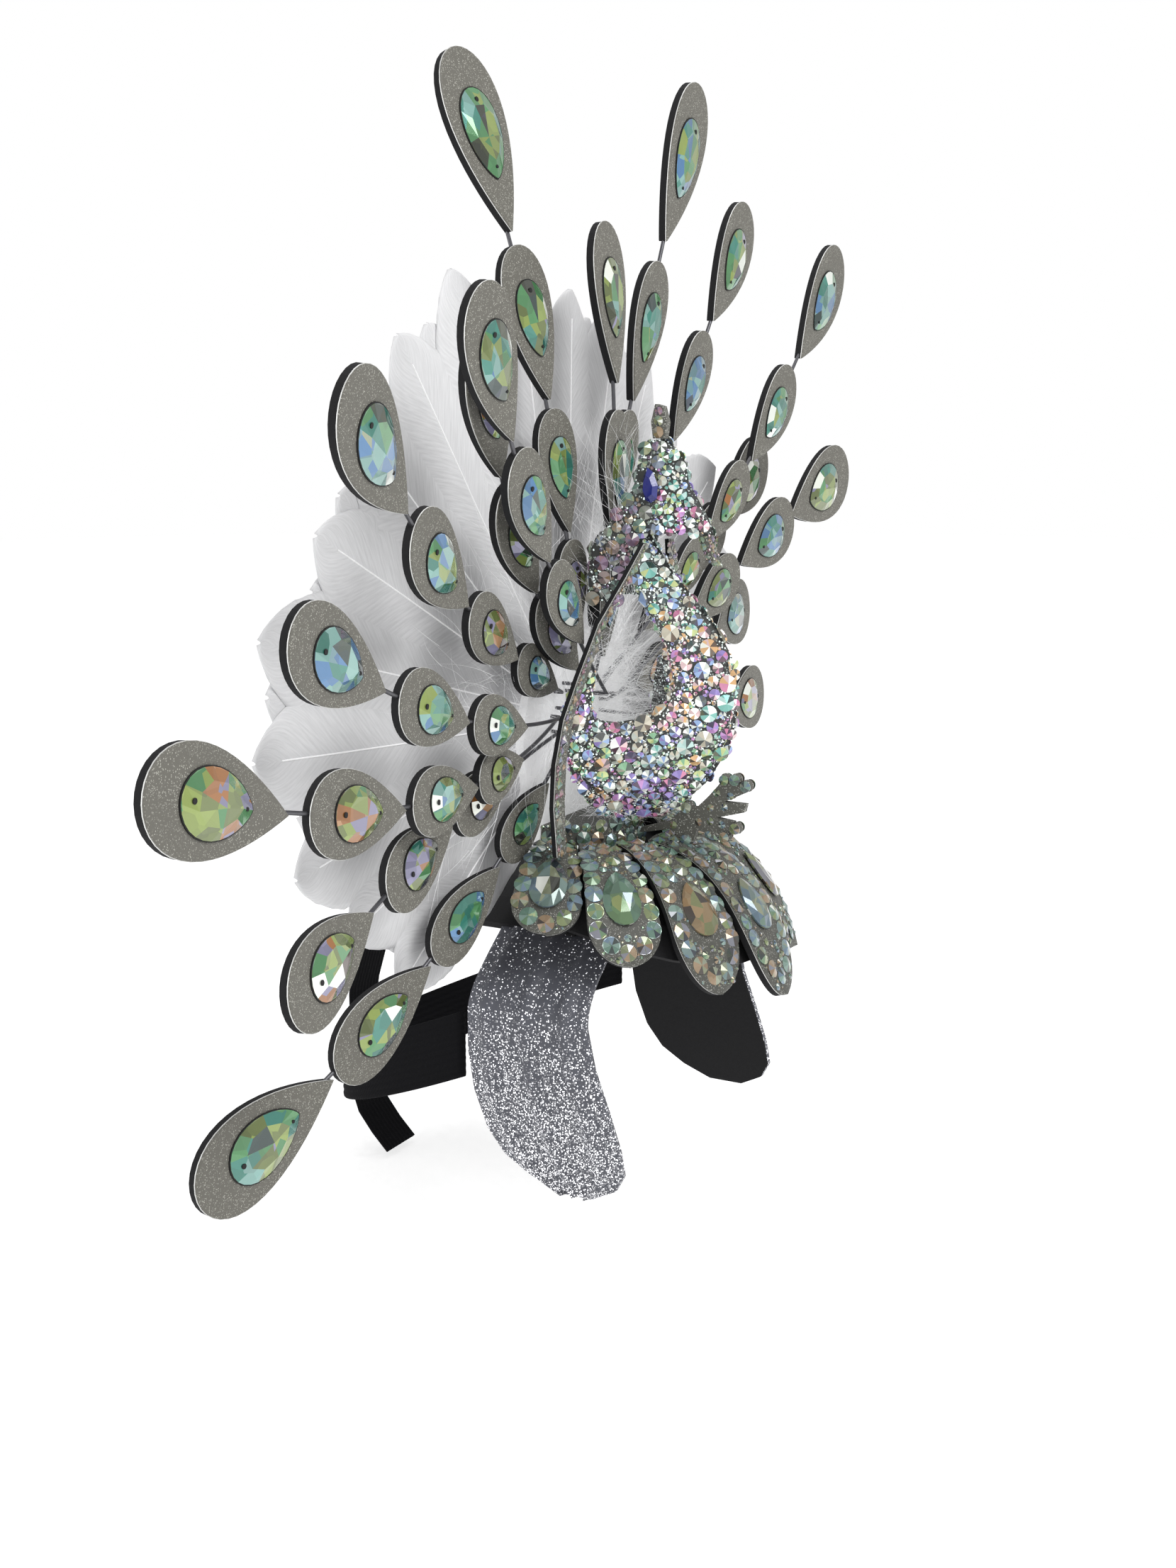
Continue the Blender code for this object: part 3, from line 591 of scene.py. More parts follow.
def copies(name, spots, shape, finish, seed):
    """One piece of copies; a spot is place and turn, size (one or three), tint."""
    mesh = bpy.data.meshes.new(name + "_spots")
    mesh.from_pydata([tuple(Vector(s[0]) * MM) for s in spots], [], [])
    sizes = [s[2] if isinstance(s[2], tuple) else (s[2],) * 3 for s in spots]
    for label, kind, field, values in (
            ("turn", "FLOAT_VECTOR", "vector",
             [c for s in spots for c in s[1].to_euler()]),
            ("size", "FLOAT_VECTOR", "vector", [c * MM for s in sizes for c in s]),
            ("tint", "FLOAT", "value", [s[3] for s in spots])):
        layer = mesh.attributes.new(label, kind, "POINT")
        layer.data.foreach_set(field, values)
    return grow(name, mesh, "CopiesOnPoints", False, {
        "Shape": SHAPES[shape], "Seed": seed, "Finish": FINISHES[finish]})


def tubes(name, lines, radius, sides, finish):
    verts, edges = [], []
    for line in lines:
        start = len(verts)
        verts += [tuple(p * MM) for p in line]
        edges += [(start + k, start + k + 1) for k in range(len(line) - 1)]
    mesh = bpy.data.meshes.new(name + "_lines")
    mesh.from_pydata(verts, edges, [])
    return grow(name, mesh, "TubesOnLines", True, {
        "Radius": radius * MM, "Sides": sides, "Finish": FINISHES[finish]})


def slab(name, parts, steps, across, layers, finishes, smooth=False):
    """Closed slabs, one a part; a part gives the point at share, u and lift."""
    verts, faces, slots = [], [], []
    row, per = across + 1, (steps + 1) * (across + 1)
    ring = [i * row for i in range(steps + 1)]
    ring += [steps * row + j for j in range(1, row)]
    ring += [i * row + across for i in reversed(range(steps))]
    ring += [j for j in reversed(range(1, across))]
    for place in parts:
        start = len(verts)
        for lift, shrink, _ in layers:
            for i in range(steps + 1):
                for j in range(row):
                    u = (2 * j / across - 1) * shrink
                    verts.append(tuple(place(i / steps, u, lift)))
        for layer in (0, len(layers) - 1):
            for i in range(steps):
                for j in range(across):
                    a = start + layer * per + i * row + j
                    faces.append((a, a + 1, a + row + 1, a + row))
                    slots.append(layers[layer][2])
        for layer in range(len(layers) - 1):
            low, high = start + layer * per, start + (layer + 1) * per
            for k, a in enumerate(ring):
                b = ring[(k + 1) % len(ring)]
                faces.append((low + a, low + b, high + b, high + a))
                slots.append(layers[layer + 1][2])
    obj = mesh_object(name, verts, faces, finishes, slots, smooth)
    point_outwards(obj)
    return obj


def turn_to(normal, spin):
    return Vector(normal).to_track_quat("Z", "Y").to_matrix() @ Matrix.Rotation(
        spin, 3, "Z")


def surface_samples(node, keep, count, rng):
    """Random places on the wanted faces of a CAD node, in mm, with their normals."""
    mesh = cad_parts[node].data
    mesh.calc_loop_triangles()
    tris = []
    for tri in mesh.loop_triangles:
        a, b, c = (mesh.vertices[k].co * 1000 for k in tri.vertices)
        cross = (b - a).cross(c - a)
        if cross.length > 1e-6 and keep((a + b + c) / 3, cross.normalized()):
            tris.append((a, b, c, cross.normalized(), cross.length / 2))
    if not tris:
        raise RuntimeError("no faces to set stones on: " + node)
    areas = np.cumsum([t[4] for t in tris])
    found = []
    for _ in range(count):
        k = min(int(np.searchsorted(areas, rng.random() * areas[-1])), len(tris) - 1)
        a, b, c, normal, _ = tris[k]
        u, v = rng.random(), rng.random()
        if u + v > 1:
            u, v = 1 - u, 1 - v
        found.append((a + (b - a) * u + (c - a) * v, normal))
    return found


def set_stones(samples, sizes, rng, taken=(), tint=None):
    """Largest stones first, each where it clears those already set."""
    places = np.array([tuple(p) for p, _ in taken] or [(0, 0, -9999.0)])
    radii = np.array([r for _, r in taken] or [0.0])
    spots = []
    share = len(samples) // len(sizes)
    for step, (low, high, most) in enumerate(sizes):
        done = 0
        for point, normal in samples[step * share:(step + 1) * share]:
            if done >= most:
                break
            radius = rng.uniform(low, high)
            apart = np.linalg.norm(places - np.array(point), axis=1)
            if (apart > 0.96 * (radii + radius)).all():
                places = np.vstack((places, np.array(point)))
                radii = np.append(radii, radius)
                hue = tint(point, rng) if tint else rng.random()
                spots.append((point + normal * 0.1, turn_to(normal, rng.random() * 6),
                              radius, hue))
                done += 1
    return spots


def paved(name, spots, finish, seed, slot, small=1.5):
    """Stones as two pieces: full cut above the small size, six-sided below it."""
    big = [s for s in spots if s[2] >= small]
    little = [s for s in spots if s[2] < small]
    if big:
        keep_piece(copies(name, big, "round", finish, seed), slot)
    if little:
        keep_piece(copies(name + "_small", little, "small", finish, seed + 1), slot)


def keep_piece(obj, slot, *nodes):
    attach(obj, "root")
    if nodes:
        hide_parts(*nodes)
    return obj


# ---- wires with drops


def wire_line(name):
    """Root, middle and end of a wire, and its drops as (t, length)."""
    end, bow, lengths, root_y = WIRES[name]
    flat = Vector((end[0], 0, end[2] - HUB_Z)).normalized()
    root = Vector((0, root_y, HUB_Z)) + flat * (ROOT_RADIUS + 0.5 * (root_y + 12))
    end = Vector(end)
    mid = (root + end) / 2 + 2 * Vector(bow)
    reach = (end - root).length
    drops, away = [], 0.0
    for i, length in enumerate(lengths):
        if i:
            away += (lengths[i - 1] + length) / 2 + DROP_GAP
        drops.append((1 - away / reach, length))
    return root, mid, end, drops


def on_line(root, mid, end, t):
    return (1 - t) ** 2 * root + 2 * t * (1 - t) * mid + t * t * end


def drop_places():
    """Centre, turn and length of every drop."""
    for name in WIRES:
        root, mid, end, drops = wire_line(name)
        for t, length in drops:
            centre = on_line(root, mid, end, t)
            along = (1 - t) * (mid - root) + t * (end - mid)
            side = 1 if centre.x >= 0 else -1
            x, y, z = DROP_FACE_WAY
            yield centre, basis(along, (side * x, y, z)), length


def build_drops(sizes):
    half, cap, line = DROP_THICK / 2, sizes.cap_thick / MM, sizes.line_thick / MM
    top = half - cap
    shapes = {"drop_foam": ((-half, 7), (-half + 0.4, 0), (top - line, 0)),
              "drop_line": ((top - line, -3), (top, -3)),
              "drop_face": ((top, 0), (half - 0.25, 0), (half, 6))}
    finishes = {"drop_foam": "foam", "drop_line": "silver_line", "drop_face": "taupe"}
    spots = [(centre, turn, (length, length, 1000.0), 0.0)
             for centre, turn, length in drop_places()]
    for name, levels in shapes.items():
        SHAPES[name] = unit_drop("unit_" + name, levels, sizes.drop_sides)
        nodes = ["ray_" + n for n in WIRES] if name == "drop_foam" else ()
        keep_piece(copies(name, spots, name, finishes[name], 1), "jewelled_wires",
                   *nodes)


def build_drop_stones():
    rng = random.Random(11)
    spots, holes = [], []
    for centre, turn, length in drop_places():
        size = length * STONE_SHARE
        base = Vector((0.03 * length, 0, DROP_THICK / 2))
        spots.append((centre + turn @ base, turn, (size, size, STONE_RISE),
                      0.72 + 0.5 * rng.random()))
        # black dots at the real sewing holes; their black is painted shade inside the
        # holes
        for share, radius in HOLES:
            spot = base + Vector((share * size, 0, STONE_RISE * 0.66))
            holes.append((centre + turn @ spot, turn, radius, 0.0))
    keep_piece(copies("drop_stones", spots, "pear", "drop_stone", 3), "jewelled_wires")
    # painted shadow: a near-black rim just wider than each stone, under it
    shadow_rims = [(spot, turn, (size[0], size[1], 0.9), hue)
             for spot, turn, size, hue in spots]
    keep_piece(copies("stone_seats", shadow_rims, "seat", "painted_shade", 4), "jewelled_wires")
    keep_piece(copies("stone_holes", holes, "dot", "painted_shade", 4), "jewelled_wires")


def build_wires():
    lines = []
    for name in WIRES:
        root, mid, end, _ = wire_line(name)
        lines.append([Vector((root.x, PLATE_FRONT_Y, root.z))]
                     + [on_line(root, mid, end, k / 24) for k in range(25)])
    keep_piece(tubes("wires", lines, WIRE_RADIUS, 10, "wire"), "jewelled_wires")


# ---- feathers

FEATHERS = {
    -1: ((6, 206), (20, 222), (33, 216), (47, 214), (60, 208), (74, 228), (87, 226),
         (100, 206), (113, 182), (126, 168)),
    1: ((8, 206), (22, 212), (35, 206), (49, 202), (63, 236), (76, 240), (89, 226),
        (102, 200), (115, 178), (128, 160)),
}
FEATHER_HUB_Z, FEATHER_SWEEP, VANE_SHARE = 75.0, 0.075, 0.985
REAR_VANE_Y, FRONT_VANE_Y, FRONT_VANE_SHARE, VANE_THICK = -4.2, -1.8, 0.96, 0.3


def vane_rows(lean, length, width, y0, rng):
    """One feather: rows of points along it, with a round, slightly torn tip."""
    a = math.radians(lean)
    side_way = Vector((math.cos(a), 0, -math.sin(a)))
    out_way = Vector((math.sin(a), 0, math.cos(a)))
    bend = rng.uniform(-4, 4)
    notch_at, notch_side = rng.uniform(0.70, 0.86), rng.choice((-1, 1))
    rows, uvs = [], []
    steps, across = 40, 7
    for k in range(steps + 1):
        q = k / steps
        s = 0.08 + 0.92 * (1 - (1 - q) ** 1.5)
        tip = max(0.0, (s - 0.70) / 0.30)
        shape = min(1.0, (s / 0.32) ** 0.6) * math.sqrt(max(0.0, 1 - tip ** 2.6))
        row, uv = [], []
        for j in range(-across, across + 1):
            u = j / across
            rag = 1.0 + rng.uniform(-0.035, 0.02) * (abs(u) > 0.9)
            if abs(s - notch_at) < 0.012 and u * notch_side > 0.6:
                rag *= 0.86
            half = width / 2 * max(shape, 0.03) * rag
            point = out_way * length * (s - 0.05 * u * u * shape * s) + side_way * (
                half * u + bend * s * s)
            y = y0 + FEATHER_SWEEP * length * s + 1.6 * u * u - 0.8
            row.append((point.x, y, FEATHER_HUB_Z + point.z))
            uv.append((u, s))
        rows.append(row)
        uvs.append(uv)
    return rows, uvs


def build_feathers(sizes):
    for side, word in SIDES:
        rng = random.Random(21 + side)
        verts, faces, uvs, quills = [], [], [], []
        table = FEATHERS[side]
        layers = [(lean, length, REAR_VANE_Y) for lean, length in table]
        for (lean, length), (lean2, length2) in zip(table, table[1:]):
            layers.append(((lean + lean2) / 2,
                           FRONT_VANE_SHARE * min(length, length2), FRONT_VANE_Y))
        for lean, length, y0 in layers:
            rows, uv = vane_rows(side * lean, length * VANE_SHARE,
                                 sizes.vane_width / MM, y0, rng)
            start, across = len(verts), len(rows[0])
            verts += [p for row in rows for p in row]
            uvs += [c for row in uv for c in row]
            for i in range(len(rows) - 1):
                for j in range(across - 1):
                    a = start + i * across + j
                    faces.append((a, a + across, a + across + 1, a + 1))
            quills.append([Vector(row[across // 2]) + Vector((0, -0.3, 0))
                           for row in rows[:-6:3]])
        obj = mesh_object("feathers_" + word, verts, faces, ["feather"], smooth=True,
                          uvs=uvs)
        step = obj.modifiers.new("thin", "SOLIDIFY")
        step.thickness = VANE_THICK * MM
        obj.data = evaluated_mesh(obj)
        obj.modifiers.clear()
        keep_piece(obj, "feathers", "feather_fan_" + word)
        keep_piece(tubes("quills_" + word, quills, QUILL_RADIUS, 5, "fluff"),
                   "feathers")


# share of all strands, then the ranges of x, y and z, of the way and of the length
TUFTS = (
    (1 / 4, (-9, 9), (-42, -20), (95, 190), (-0.9, 0.9), (-0.3, 0.5), (0.2, 1.2),
     (18, 42)),
    (2 / 3, (-14, 14), (-36, -12), (46, 112), (-0.8, 0.8), (-1.0, -0.2), (-0.4, 0.6),
     (14, 34)),
    (1 / 5, (-20, 20), (-40, -12), (30, 38), (-1.2, 1.2), (-0.9, 0.0), (-0.1, 0.5),
     (14, 30)),
)


def build_fluff(sizes):
    """Loose down: round the hub, over the head, in the body and under the breast."""
    rng = random.Random(5)
    spots = []

    def add_strand(start, way, length):
        spots.append((start, turn_to(Vector(way).normalized(), rng.random() * 6.28),
                      length, 0.0))

    for k in range(sizes.fluff_strands):
        lean = math.radians(rng.uniform(-120, 120))
        flat = Vector((math.sin(lean), 0, math.cos(lean)))
        r0 = rng.uniform(4, 50) if k % 3 else rng.uniform(40, 120)
        start = Vector((0, -9.5 + 0.06 * r0, HUB_Z - 2)) + flat * r0
        way = flat + Vector((rng.uniform(-0.7, 0.7), rng.uniform(-0.35, 0.06),
                             rng.uniform(-0.7, 0.7)))
        add_strand(start, way, rng.uniform(18, 46))
    for share, *ranges in TUFTS:
        for _ in range(int(share * sizes.fluff_strands + 1e-6)):
            drawn = [rng.uniform(*limits) for limits in ranges]
            add_strand(Vector(drawn[:3]), drawn[3:6], drawn[6])
    keep_piece(copies("down", spots, "strand", "fluff", 2), "feathers")


# ---- bird


UPPER_HUES = (0.05, 0.10, 0.17, 0.30, 0.36, 0.85, 0.58)
MIDDLE_HUES = (0.50, 0.58, 0.64, 0.70, 0.76, 0.35, 0.12)
LOWER_HUES = (0.24, 0.33, 0.40, 0.48, 0.55, 0.78, 0.88, 0.02)


def breast_tint(point, rng):
    """Greens on top, pinks and violets in the middle, blues and peach below."""
    if point.z > 122:
        hues = UPPER_HUES
    else:
        hues = MIDDLE_HUES if point.z > 78 and point.y < -62 else LOWER_HUES
    return rng.choice(hues) + rng.random() / 9


# stone mixes, largest first: least and greatest radius, most of them
TINY = (0.8, 1.1)
BREAST_TRIES, HEAD_TRIES, OTHER_TRIES = 44000, 12000, 9000
BREAST_MIX = ((3.6, 4.2, 26), (2.5, 2.9, 260), (1.5, 1.9, 260), (*TINY, 700))
DULL_MIX = ((3.0, 3.6, 16), (2.0, 2.6, 60), (*TINY, 260))
BRIGHT_MIX = ((2.3, 2.8, 24), (1.4, 1.8, 90), (*TINY, 220))
BEAK_MIX = ((1.3, 1.6, 12), (0.7, 0.9, 60))
FOOT_MIX = ((3.0, 3.8, 60), (1.6, 2.2, 160), (*TINY, 400))
WING_MIX = ((2.6, 3.1, 16), (1.5, 2.0, 60), (*TINY, 160))
PETAL_MIX = ((2.9, 3.6, 30), (1.5, 2.0, 14), (0.7, 1.0, 26))


def build_breast():
    for side, word in SIDES:
        rng = random.Random(31 + side)
        samples = surface_samples(
            "breast_" + word,
            lambda p, n, side=side: n.x * side > 0.25 or n.y < -0.75,
            BREAST_TRIES, rng)
        spots = set_stones(samples, BREAST_MIX, rng, tint=breast_tint)
        paved("breast_stones_" + word, spots, "paving", 7 + side, "paved_bird")


EYE_X, EYE_Y, EYE_ZS, EYE_CLEAR = 11.5, -52.0, (182.0, 187.0, 192.0), 4.4
BEAK_SIDE_Y = -55


def build_head():
    for side, word in SIDES:
        rng = random.Random(41 + side)
        eye = [(Vector((side * EYE_X, EYE_Y, z)), EYE_CLEAR) for z in EYE_ZS]
        samples = surface_samples("head_neck_" + word,
                                  lambda p, n, side=side: n.x * side > 0.25,
                                  HEAD_TRIES, rng)
        near = [s for s in samples if s[0].y > BEAK_SIDE_Y]
        far = [s for s in samples if s[0].y <= BEAK_SIDE_Y]
        dull = set_stones(near, DULL_MIX, rng, eye)
        bright = set_stones(far, BRIGHT_MIX, rng, eye, breast_tint)
        paved("head_stones_dull_" + word, dull, "paving_dull", 12, "paved_bird")
        paved("head_stones_" + word, bright, "paving", 14, "paved_bird")


# y, z and radius of the stones on each side of the crest and of the ornament
CREST_STONES = ((-52.8, 210.5, 2.6), (-52.8, 215.6, 2.3), (-52.9, 220.0, 1.9))
ORNAMENT_STONES = (
    (-99, 50.5, 2.6), (-93.5, 53, 2.6), (-88, 52.5, 2.4), (-94, 30, 2.6),
    (-88.5, 25.5, 2.4), (-69, 37.5, 2.6), (-69, 22, 2.6), (-62, 28.2, 1.8),
    (-75, 31, 1.8), (-81, 32, 1.8), (-87, 31, 1.7), (-84, 46, 1.8), (-91, 45, 1.8),
    (-81, 38.5, 1.7), (-88, 39.5, 1.7), (-80, 25.6, 1.6))


def build_trim_stones():
    """Small stones on the beak, the crest, the foot and the tips of the ornament."""
    rng = random.Random(71)
    for node, finish, slot, mix in (
            ("beak", "paving_dull", "beak_and_crest", BEAK_MIX),
            ("bird_foot", "petal_stone", "petals", FOOT_MIX)):
        samples = surface_samples(
            node, lambda p, n: abs(n.z) < 0.8 and n.y < 0.6, OTHER_TRIES, rng)
        paved(node + "_stones", set_stones(samples, mix, rng), finish, 23, slot, 1.2)
    crest, tips = [], []
    for side in (-1, 1):
        for y, z, radius in CREST_STONES:
            crest.append((Vector((side * 2.0, y, z)), turn_to((side, 0, 0), 0.3),
                          radius, rng.random()))
        for y, z, radius in ORNAMENT_STONES:
            out = 2.9 if radius > 2 else 1.6
            tips.append((Vector((side * out, y, z)), turn_to((side, 0, 0), 0.2),
                         radius, rng.random()))
    keep_piece(copies("crest_stones", crest, "round", "paving_dull", 31),
               "beak_and_crest")
    keep_piece(copies("ornament_stones", tips, "round", "petal_stone", 32), "ornament")


WING_EDGE = ((15, -50, 161), (28, -47, 146), (44, -42, 127), (56, -38, 104),
             (64, -35, 86), (68, -33, 66), (68, -32, 46), (65, -32, 23))
WING_WIDTH = (3, 7, 10, 11, 11, 12, 12, 10)
WING_THICK = 3.0


def build_wings():
    at = [k / 7 for k in range(8)]

    def place(share, u, lift, side):
        x, y, z = (np.interp(share, at, [e[k] for e in WING_EDGE]) for k in range(3))
        inward = np.interp(share, at, WING_WIDTH) * (u + 1) / 2
        return Vector((side * (x - inward), y + 0.12 * inward - lift, z))

    layers = ((0.0, 1.0, 0), (2.1, 1.0, 0), (2.5, 1.0, 1), (WING_THICK, 0.9, 2))
    for side, word in SIDES:
        obj = slab("wing_plate_" + word,
                   [lambda share, u, lift, side=side: place(share, u, lift, side)],
                   42, 6, layers, ["foam", "silver_line", "dim_silver"])
        keep_piece(obj, "paved_bird", "wing_" + word)
        rng = random.Random(51 + side)
        samples = surface_samples("wing_" + word, lambda p, n: n.y < -0.55,
                                  OTHER_TRIES, rng)
        spots = set_stones(samples, WING_MIX, rng)
        paved("wing_stones_" + word, spots, "paving_dull", 17, "paved_bird")


# ---- petals

BROW_CENTRE_Y = -6.0
PETALS = (("centre", 0, 1.0), ("right_1", -23, 0.97), ("right_2", -46, 0.95),
          ("right_3", -69, 0.95), ("left_1", 23, 0.97), ("left_2", 46, 0.95),
          ("left_3", 69, 0.95))
PETAL_TOP, PETAL_PEAR_AT, PETAL_PEAR_LENGTH = 4.0, 0.66, 27.0
PETAL_ARCH, PETAL_LEAN, PETAL_HALF_ANGLE, PETAL_HALF_WIDTH = 0.9, 1.5, 11.0, 19.0


def brow(angle, share, lift):
    """The part's brow profile: angle 0 is the front, share 0 the root, 1 the end."""
    a = math.radians(angle)
    front = math.cos(a) ** 2
    end_r, end_z = 86.0 + 24.0 * front, -8.0 - 40.0 * front
    p0, p1, p2 = (36.0, 16.0), (end_r - 20.0, 24.0), (end_r, end_z)
    s, q = share, 1 - share
    r = q * q * p0[0] + 2 * s * q * p1[0] + s * s * p2[0]
    z = q * q * p0[1] + 2 * s * q * p1[1] + s * s * p2[1]
    tr = q * (p1[0] - p0[0]) + s * (p2[0] - p1[0])
    tz = q * (p1[1] - p0[1]) + s * (p2[1] - p1[1])
    size = math.hypot(tr, tz)
    r, z = r - tz / size * lift, z + tr / size * lift
    return Vector((r * math.sin(a), BROW_CENTRE_Y - r * math.cos(a), z))


def petal_point(angle, end, s, u, lift):
    """Point of a petal: s from root to end, u from -1 to 1 across it."""
    a = math.radians(angle)
    lean = max(-1, min(1, angle))
    centre = brow(angle, s * end,
                  lift - PETAL_ARCH * u * u + PETAL_LEAN * (1 + lean * u))
    r = math.hypot(centre.x, centre.y - BROW_CENTRE_Y)
    trim = math.sqrt(max(0.0, 1 - max(0.0, (s - 0.76) / 0.24) ** 2.2))
    half = min(r * math.tan(math.radians(PETAL_HALF_ANGLE)), PETAL_HALF_WIDTH)
    half *= max(trim, 0.04)
    return centre + Vector((math.cos(a), math.sin(a), 0)) * half * u


def petal_normal(angle, end, s):
    return (brow(angle, s * end, 5.0) - brow(angle, s * end, 4.0)).normalized()


def build_petals():
    parts = [lambda share, u, lift, angle=angle, end=end: petal_point(
        angle, end, 0.10 + 0.90 * (1 - (1 - share) ** 1.6), u, lift)
             for _, angle, end in PETALS]
    layers = ((0.0, 1.0, 0), (3.1, 1.0, 0), (3.45, 1.0, 1), (PETAL_TOP, 0.98, 2))
    obj = slab("petals", parts, 30, 12, layers, ["foam", "silver_line", "petal_grey"])
    keep_piece(obj, "petals", *["petal_" + n for n, _, _ in PETALS])


def build_petal_stones():
    rng = random.Random(61)
    rim, small, pears = [], [], []
    for _, angle, end in PETALS:
        taken = []
        outline = [(s, -0.76) for s in np.linspace(0.30, 0.80, 60)]
        outline += [(0.80 + 0.14 * math.sin(w), -0.76 * math.cos(w))
                    for w in np.linspace(0, math.pi, 60)]
        outline += [(s, 0.76) for s in np.linspace(0.80, 0.30, 60)]
        last = None
        for s, u in outline:
            point = petal_point(angle, end, s, u, PETAL_TOP)
            if last is None or (point - last).length > 8.3:
                radius = rng.uniform(3.9, 4.3)
                rim.append((point, turn_to(petal_normal(angle, end, s), rng.random()),
                            (radius, radius, 0.5 * radius), rng.random()))
                taken.append((point, radius))
                last = point
        before, middle, after = (
            petal_point(angle, end, PETAL_PEAR_AT + step, 0, PETAL_TOP)
            for step in (-0.06, 0, 0.06))
        ahead = (after - before).normalized()
        pears.append((middle, basis(ahead, petal_normal(angle, end, PETAL_PEAR_AT)),
                      (PETAL_PEAR_LENGTH, PETAL_PEAR_LENGTH, STONE_RISE), rng.random()))
        for k in (-9, -4.5, 0, 4.5, 9):
            taken.append((middle + ahead * k, 8.4 if k > -6 else 6.5))
        samples = []
        for step in range(900):
            s = rng.uniform(0.12, 0.5) if step < 300 else rng.uniform(0.12, 0.97)
            u = rng.uniform(-0.9, 0.9)
            samples.append((petal_point(angle, end, s, u, 3.9),
                            petal_normal(angle, end, s)))
        small += set_stones(samples, PETAL_MIX, rng, taken)
    keep_piece(copies("petal_rim_stones", rim, "round", "petal_stone", 5), "petals")
    paved("petal_fill_stones", small, "petal_stone", 6, "petals", 1.2)
    keep_piece(copies("petal_pear_stones", pears, "pear", "petal_drop_stone", 8),
               "petals")


# ---- side flaps

FLAP_ROWS = ((0.00, -58, 1), (0.10, -58, 1), (0.28, -59, 2), (0.45, -63, 2),
             (0.62, -70, -1), (0.78, -76, -8), (0.88, -78, -17), (0.95, -74, -30),
             (1.00, -63, -45))
FLAP_TOP_ANGLE, FLAP_BOTTOM_Z, FLAP_X, FLAP_THICK = 42.3, -128.0, 81.5, 4.0
BAND_HALF_X, BAND_HALF_Z = 80.0, 70.0


def build_flaps(sizes):
    a = math.radians(FLAP_TOP_ANGLE)
    top_x, top_z = BAND_HALF_X * math.sin(a), -BAND_HALF_Z * (1 - math.cos(a))
    shares = [r[0] for r in FLAP_ROWS]
    fronts, rears = [r[1] for r in FLAP_ROWS], [r[2] for r in FLAP_ROWS]

    def place(share, u, lift, side):
        share = 1.03 * share - 0.03
        z = top_z + (FLAP_BOTTOM_Z - top_z) * share
        x = top_x + (FLAP_X - top_x) * math.sin(min(1.0, share / 0.28) * math.pi / 2)
        front = np.interp(share, shares, fronts)
        rear = np.interp(share, shares, rears)
        ridge = sizes.ridge_height / MM * max(0.0, math.cos(u * 3 * math.pi)) ** 1.5
        edge = max(0.0, 1 - (1 - abs(u)) * 7)
        if lift:
            lift += ridge * (1 - edge) - 0.9 * edge ** 2
        return Vector((side * (x + lift), front + (rear - front) * (u + 1) / 2, z))

    for side, word in SIDES:
        obj = slab("flap_skin_" + word,
                   [lambda share, u, lift, side=side: place(share, u, lift, side)],
                   60, 48, ((0.0, 1.0, 1), (FLAP_THICK, 1.0, 0)), ["slate", "foam"],
                   smooth=True)
        keep_piece(obj, "side_flaps", "side_flap_" + word)


# ---- elastic strap and strip, in the part's own lines

STRAP_HEIGHT, STRIP_WIDTH, ELASTIC_THICK = 32.0, 26.0, 1.6
STRAP_HALF_X, STRAP_REACH_Y, STRAP_START, STRAP_TURN = 79.6, 95.0, -8, 196
STRIP_LINE = ((18.4, 1), (50, -2), (85, -18), (107, -45), (117, -78), (117, -131),
              (113, -143), (105, -153), (96, -162))


def build_elastic(sizes):
    """Strap round the back of the head and strip down it, ribbed along their length."""
    along = [Vector((0, y, z)) for y, z in STRIP_LINE]
    away = [0.0]
    for a, b in zip(along, along[1:]):
        away.append(away[-1] + (b - a).length)

    def ribbed(u, lift):
        rib = 0.14 * math.cos(u * sizes.elastic_ribs * math.pi)
        return lift + rib * (1 if lift > ELASTIC_THICK / 2 else -1)

    def strap(share, u, lift):
        a = math.radians(STRAP_START + STRAP_TURN * share)
        out = Vector((math.cos(a) / STRAP_HALF_X, math.sin(a) / STRAP_REACH_Y, 0))
        y = 20.0 + STRAP_REACH_Y * math.sin(a)
        z = -50 - STRAP_HEIGHT / 2 - 0.42 * (y - 4) + u * STRAP_HEIGHT / 2
        return Vector((STRAP_HALF_X * math.cos(a), y, z)) + (
            out.normalized() * ribbed(u, lift))

    def strip(share, u, lift):
        at = share * away[-1]
        (y0, z0), (y, z), (y1, z1) = (
            [np.interp(at + step, away, [p[k] for p in along]) for k in (1, 2)]
            for step in (-3, 0, 3))
        out = Vector((0, -(z1 - z0), y1 - y0)).normalized()
        return Vector((u * STRIP_WIDTH / 2, y, z)) + out * ribbed(u, lift)

    layers = ((0.0, 0.975, 0), (0.4, 1.0, 0), (ELASTIC_THICK - 0.4, 1.0, 0),
              (ELASTIC_THICK, 0.975, 0))
    for name, place in (("back_strap", strap), ("back_strip", strip)):
        obj = slab("woven_" + name[5:], [place], 72, 72, layers, ["elastic"],
                   smooth=True)
        keep_piece(obj, "elastic", name)


CAD_FINISHES = {
    "foam": ("head_band", "brow_base"), "petal_grey": ("bird_foot",),
    "fluff": ("fan_plate",), "navy": ("eye_right", "eye_left"),
    "dark_sparkle": ("breast_right", "breast_left", "head_neck_right",
                     "head_neck_left"),
    "dim_silver": ("beak", "crest", "front_ornament"),
}


def paint_frame():
    for finish, names in CAD_FINISHES.items():
        for name in names:
            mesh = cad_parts[name].data
            mesh.materials.clear()
            mesh.materials.append(FINISHES[finish])


YAW, RISE, AWAY = math.radians(28), math.radians(12), 0.95
TARGET = Vector((0, -0.0155, 0.043))
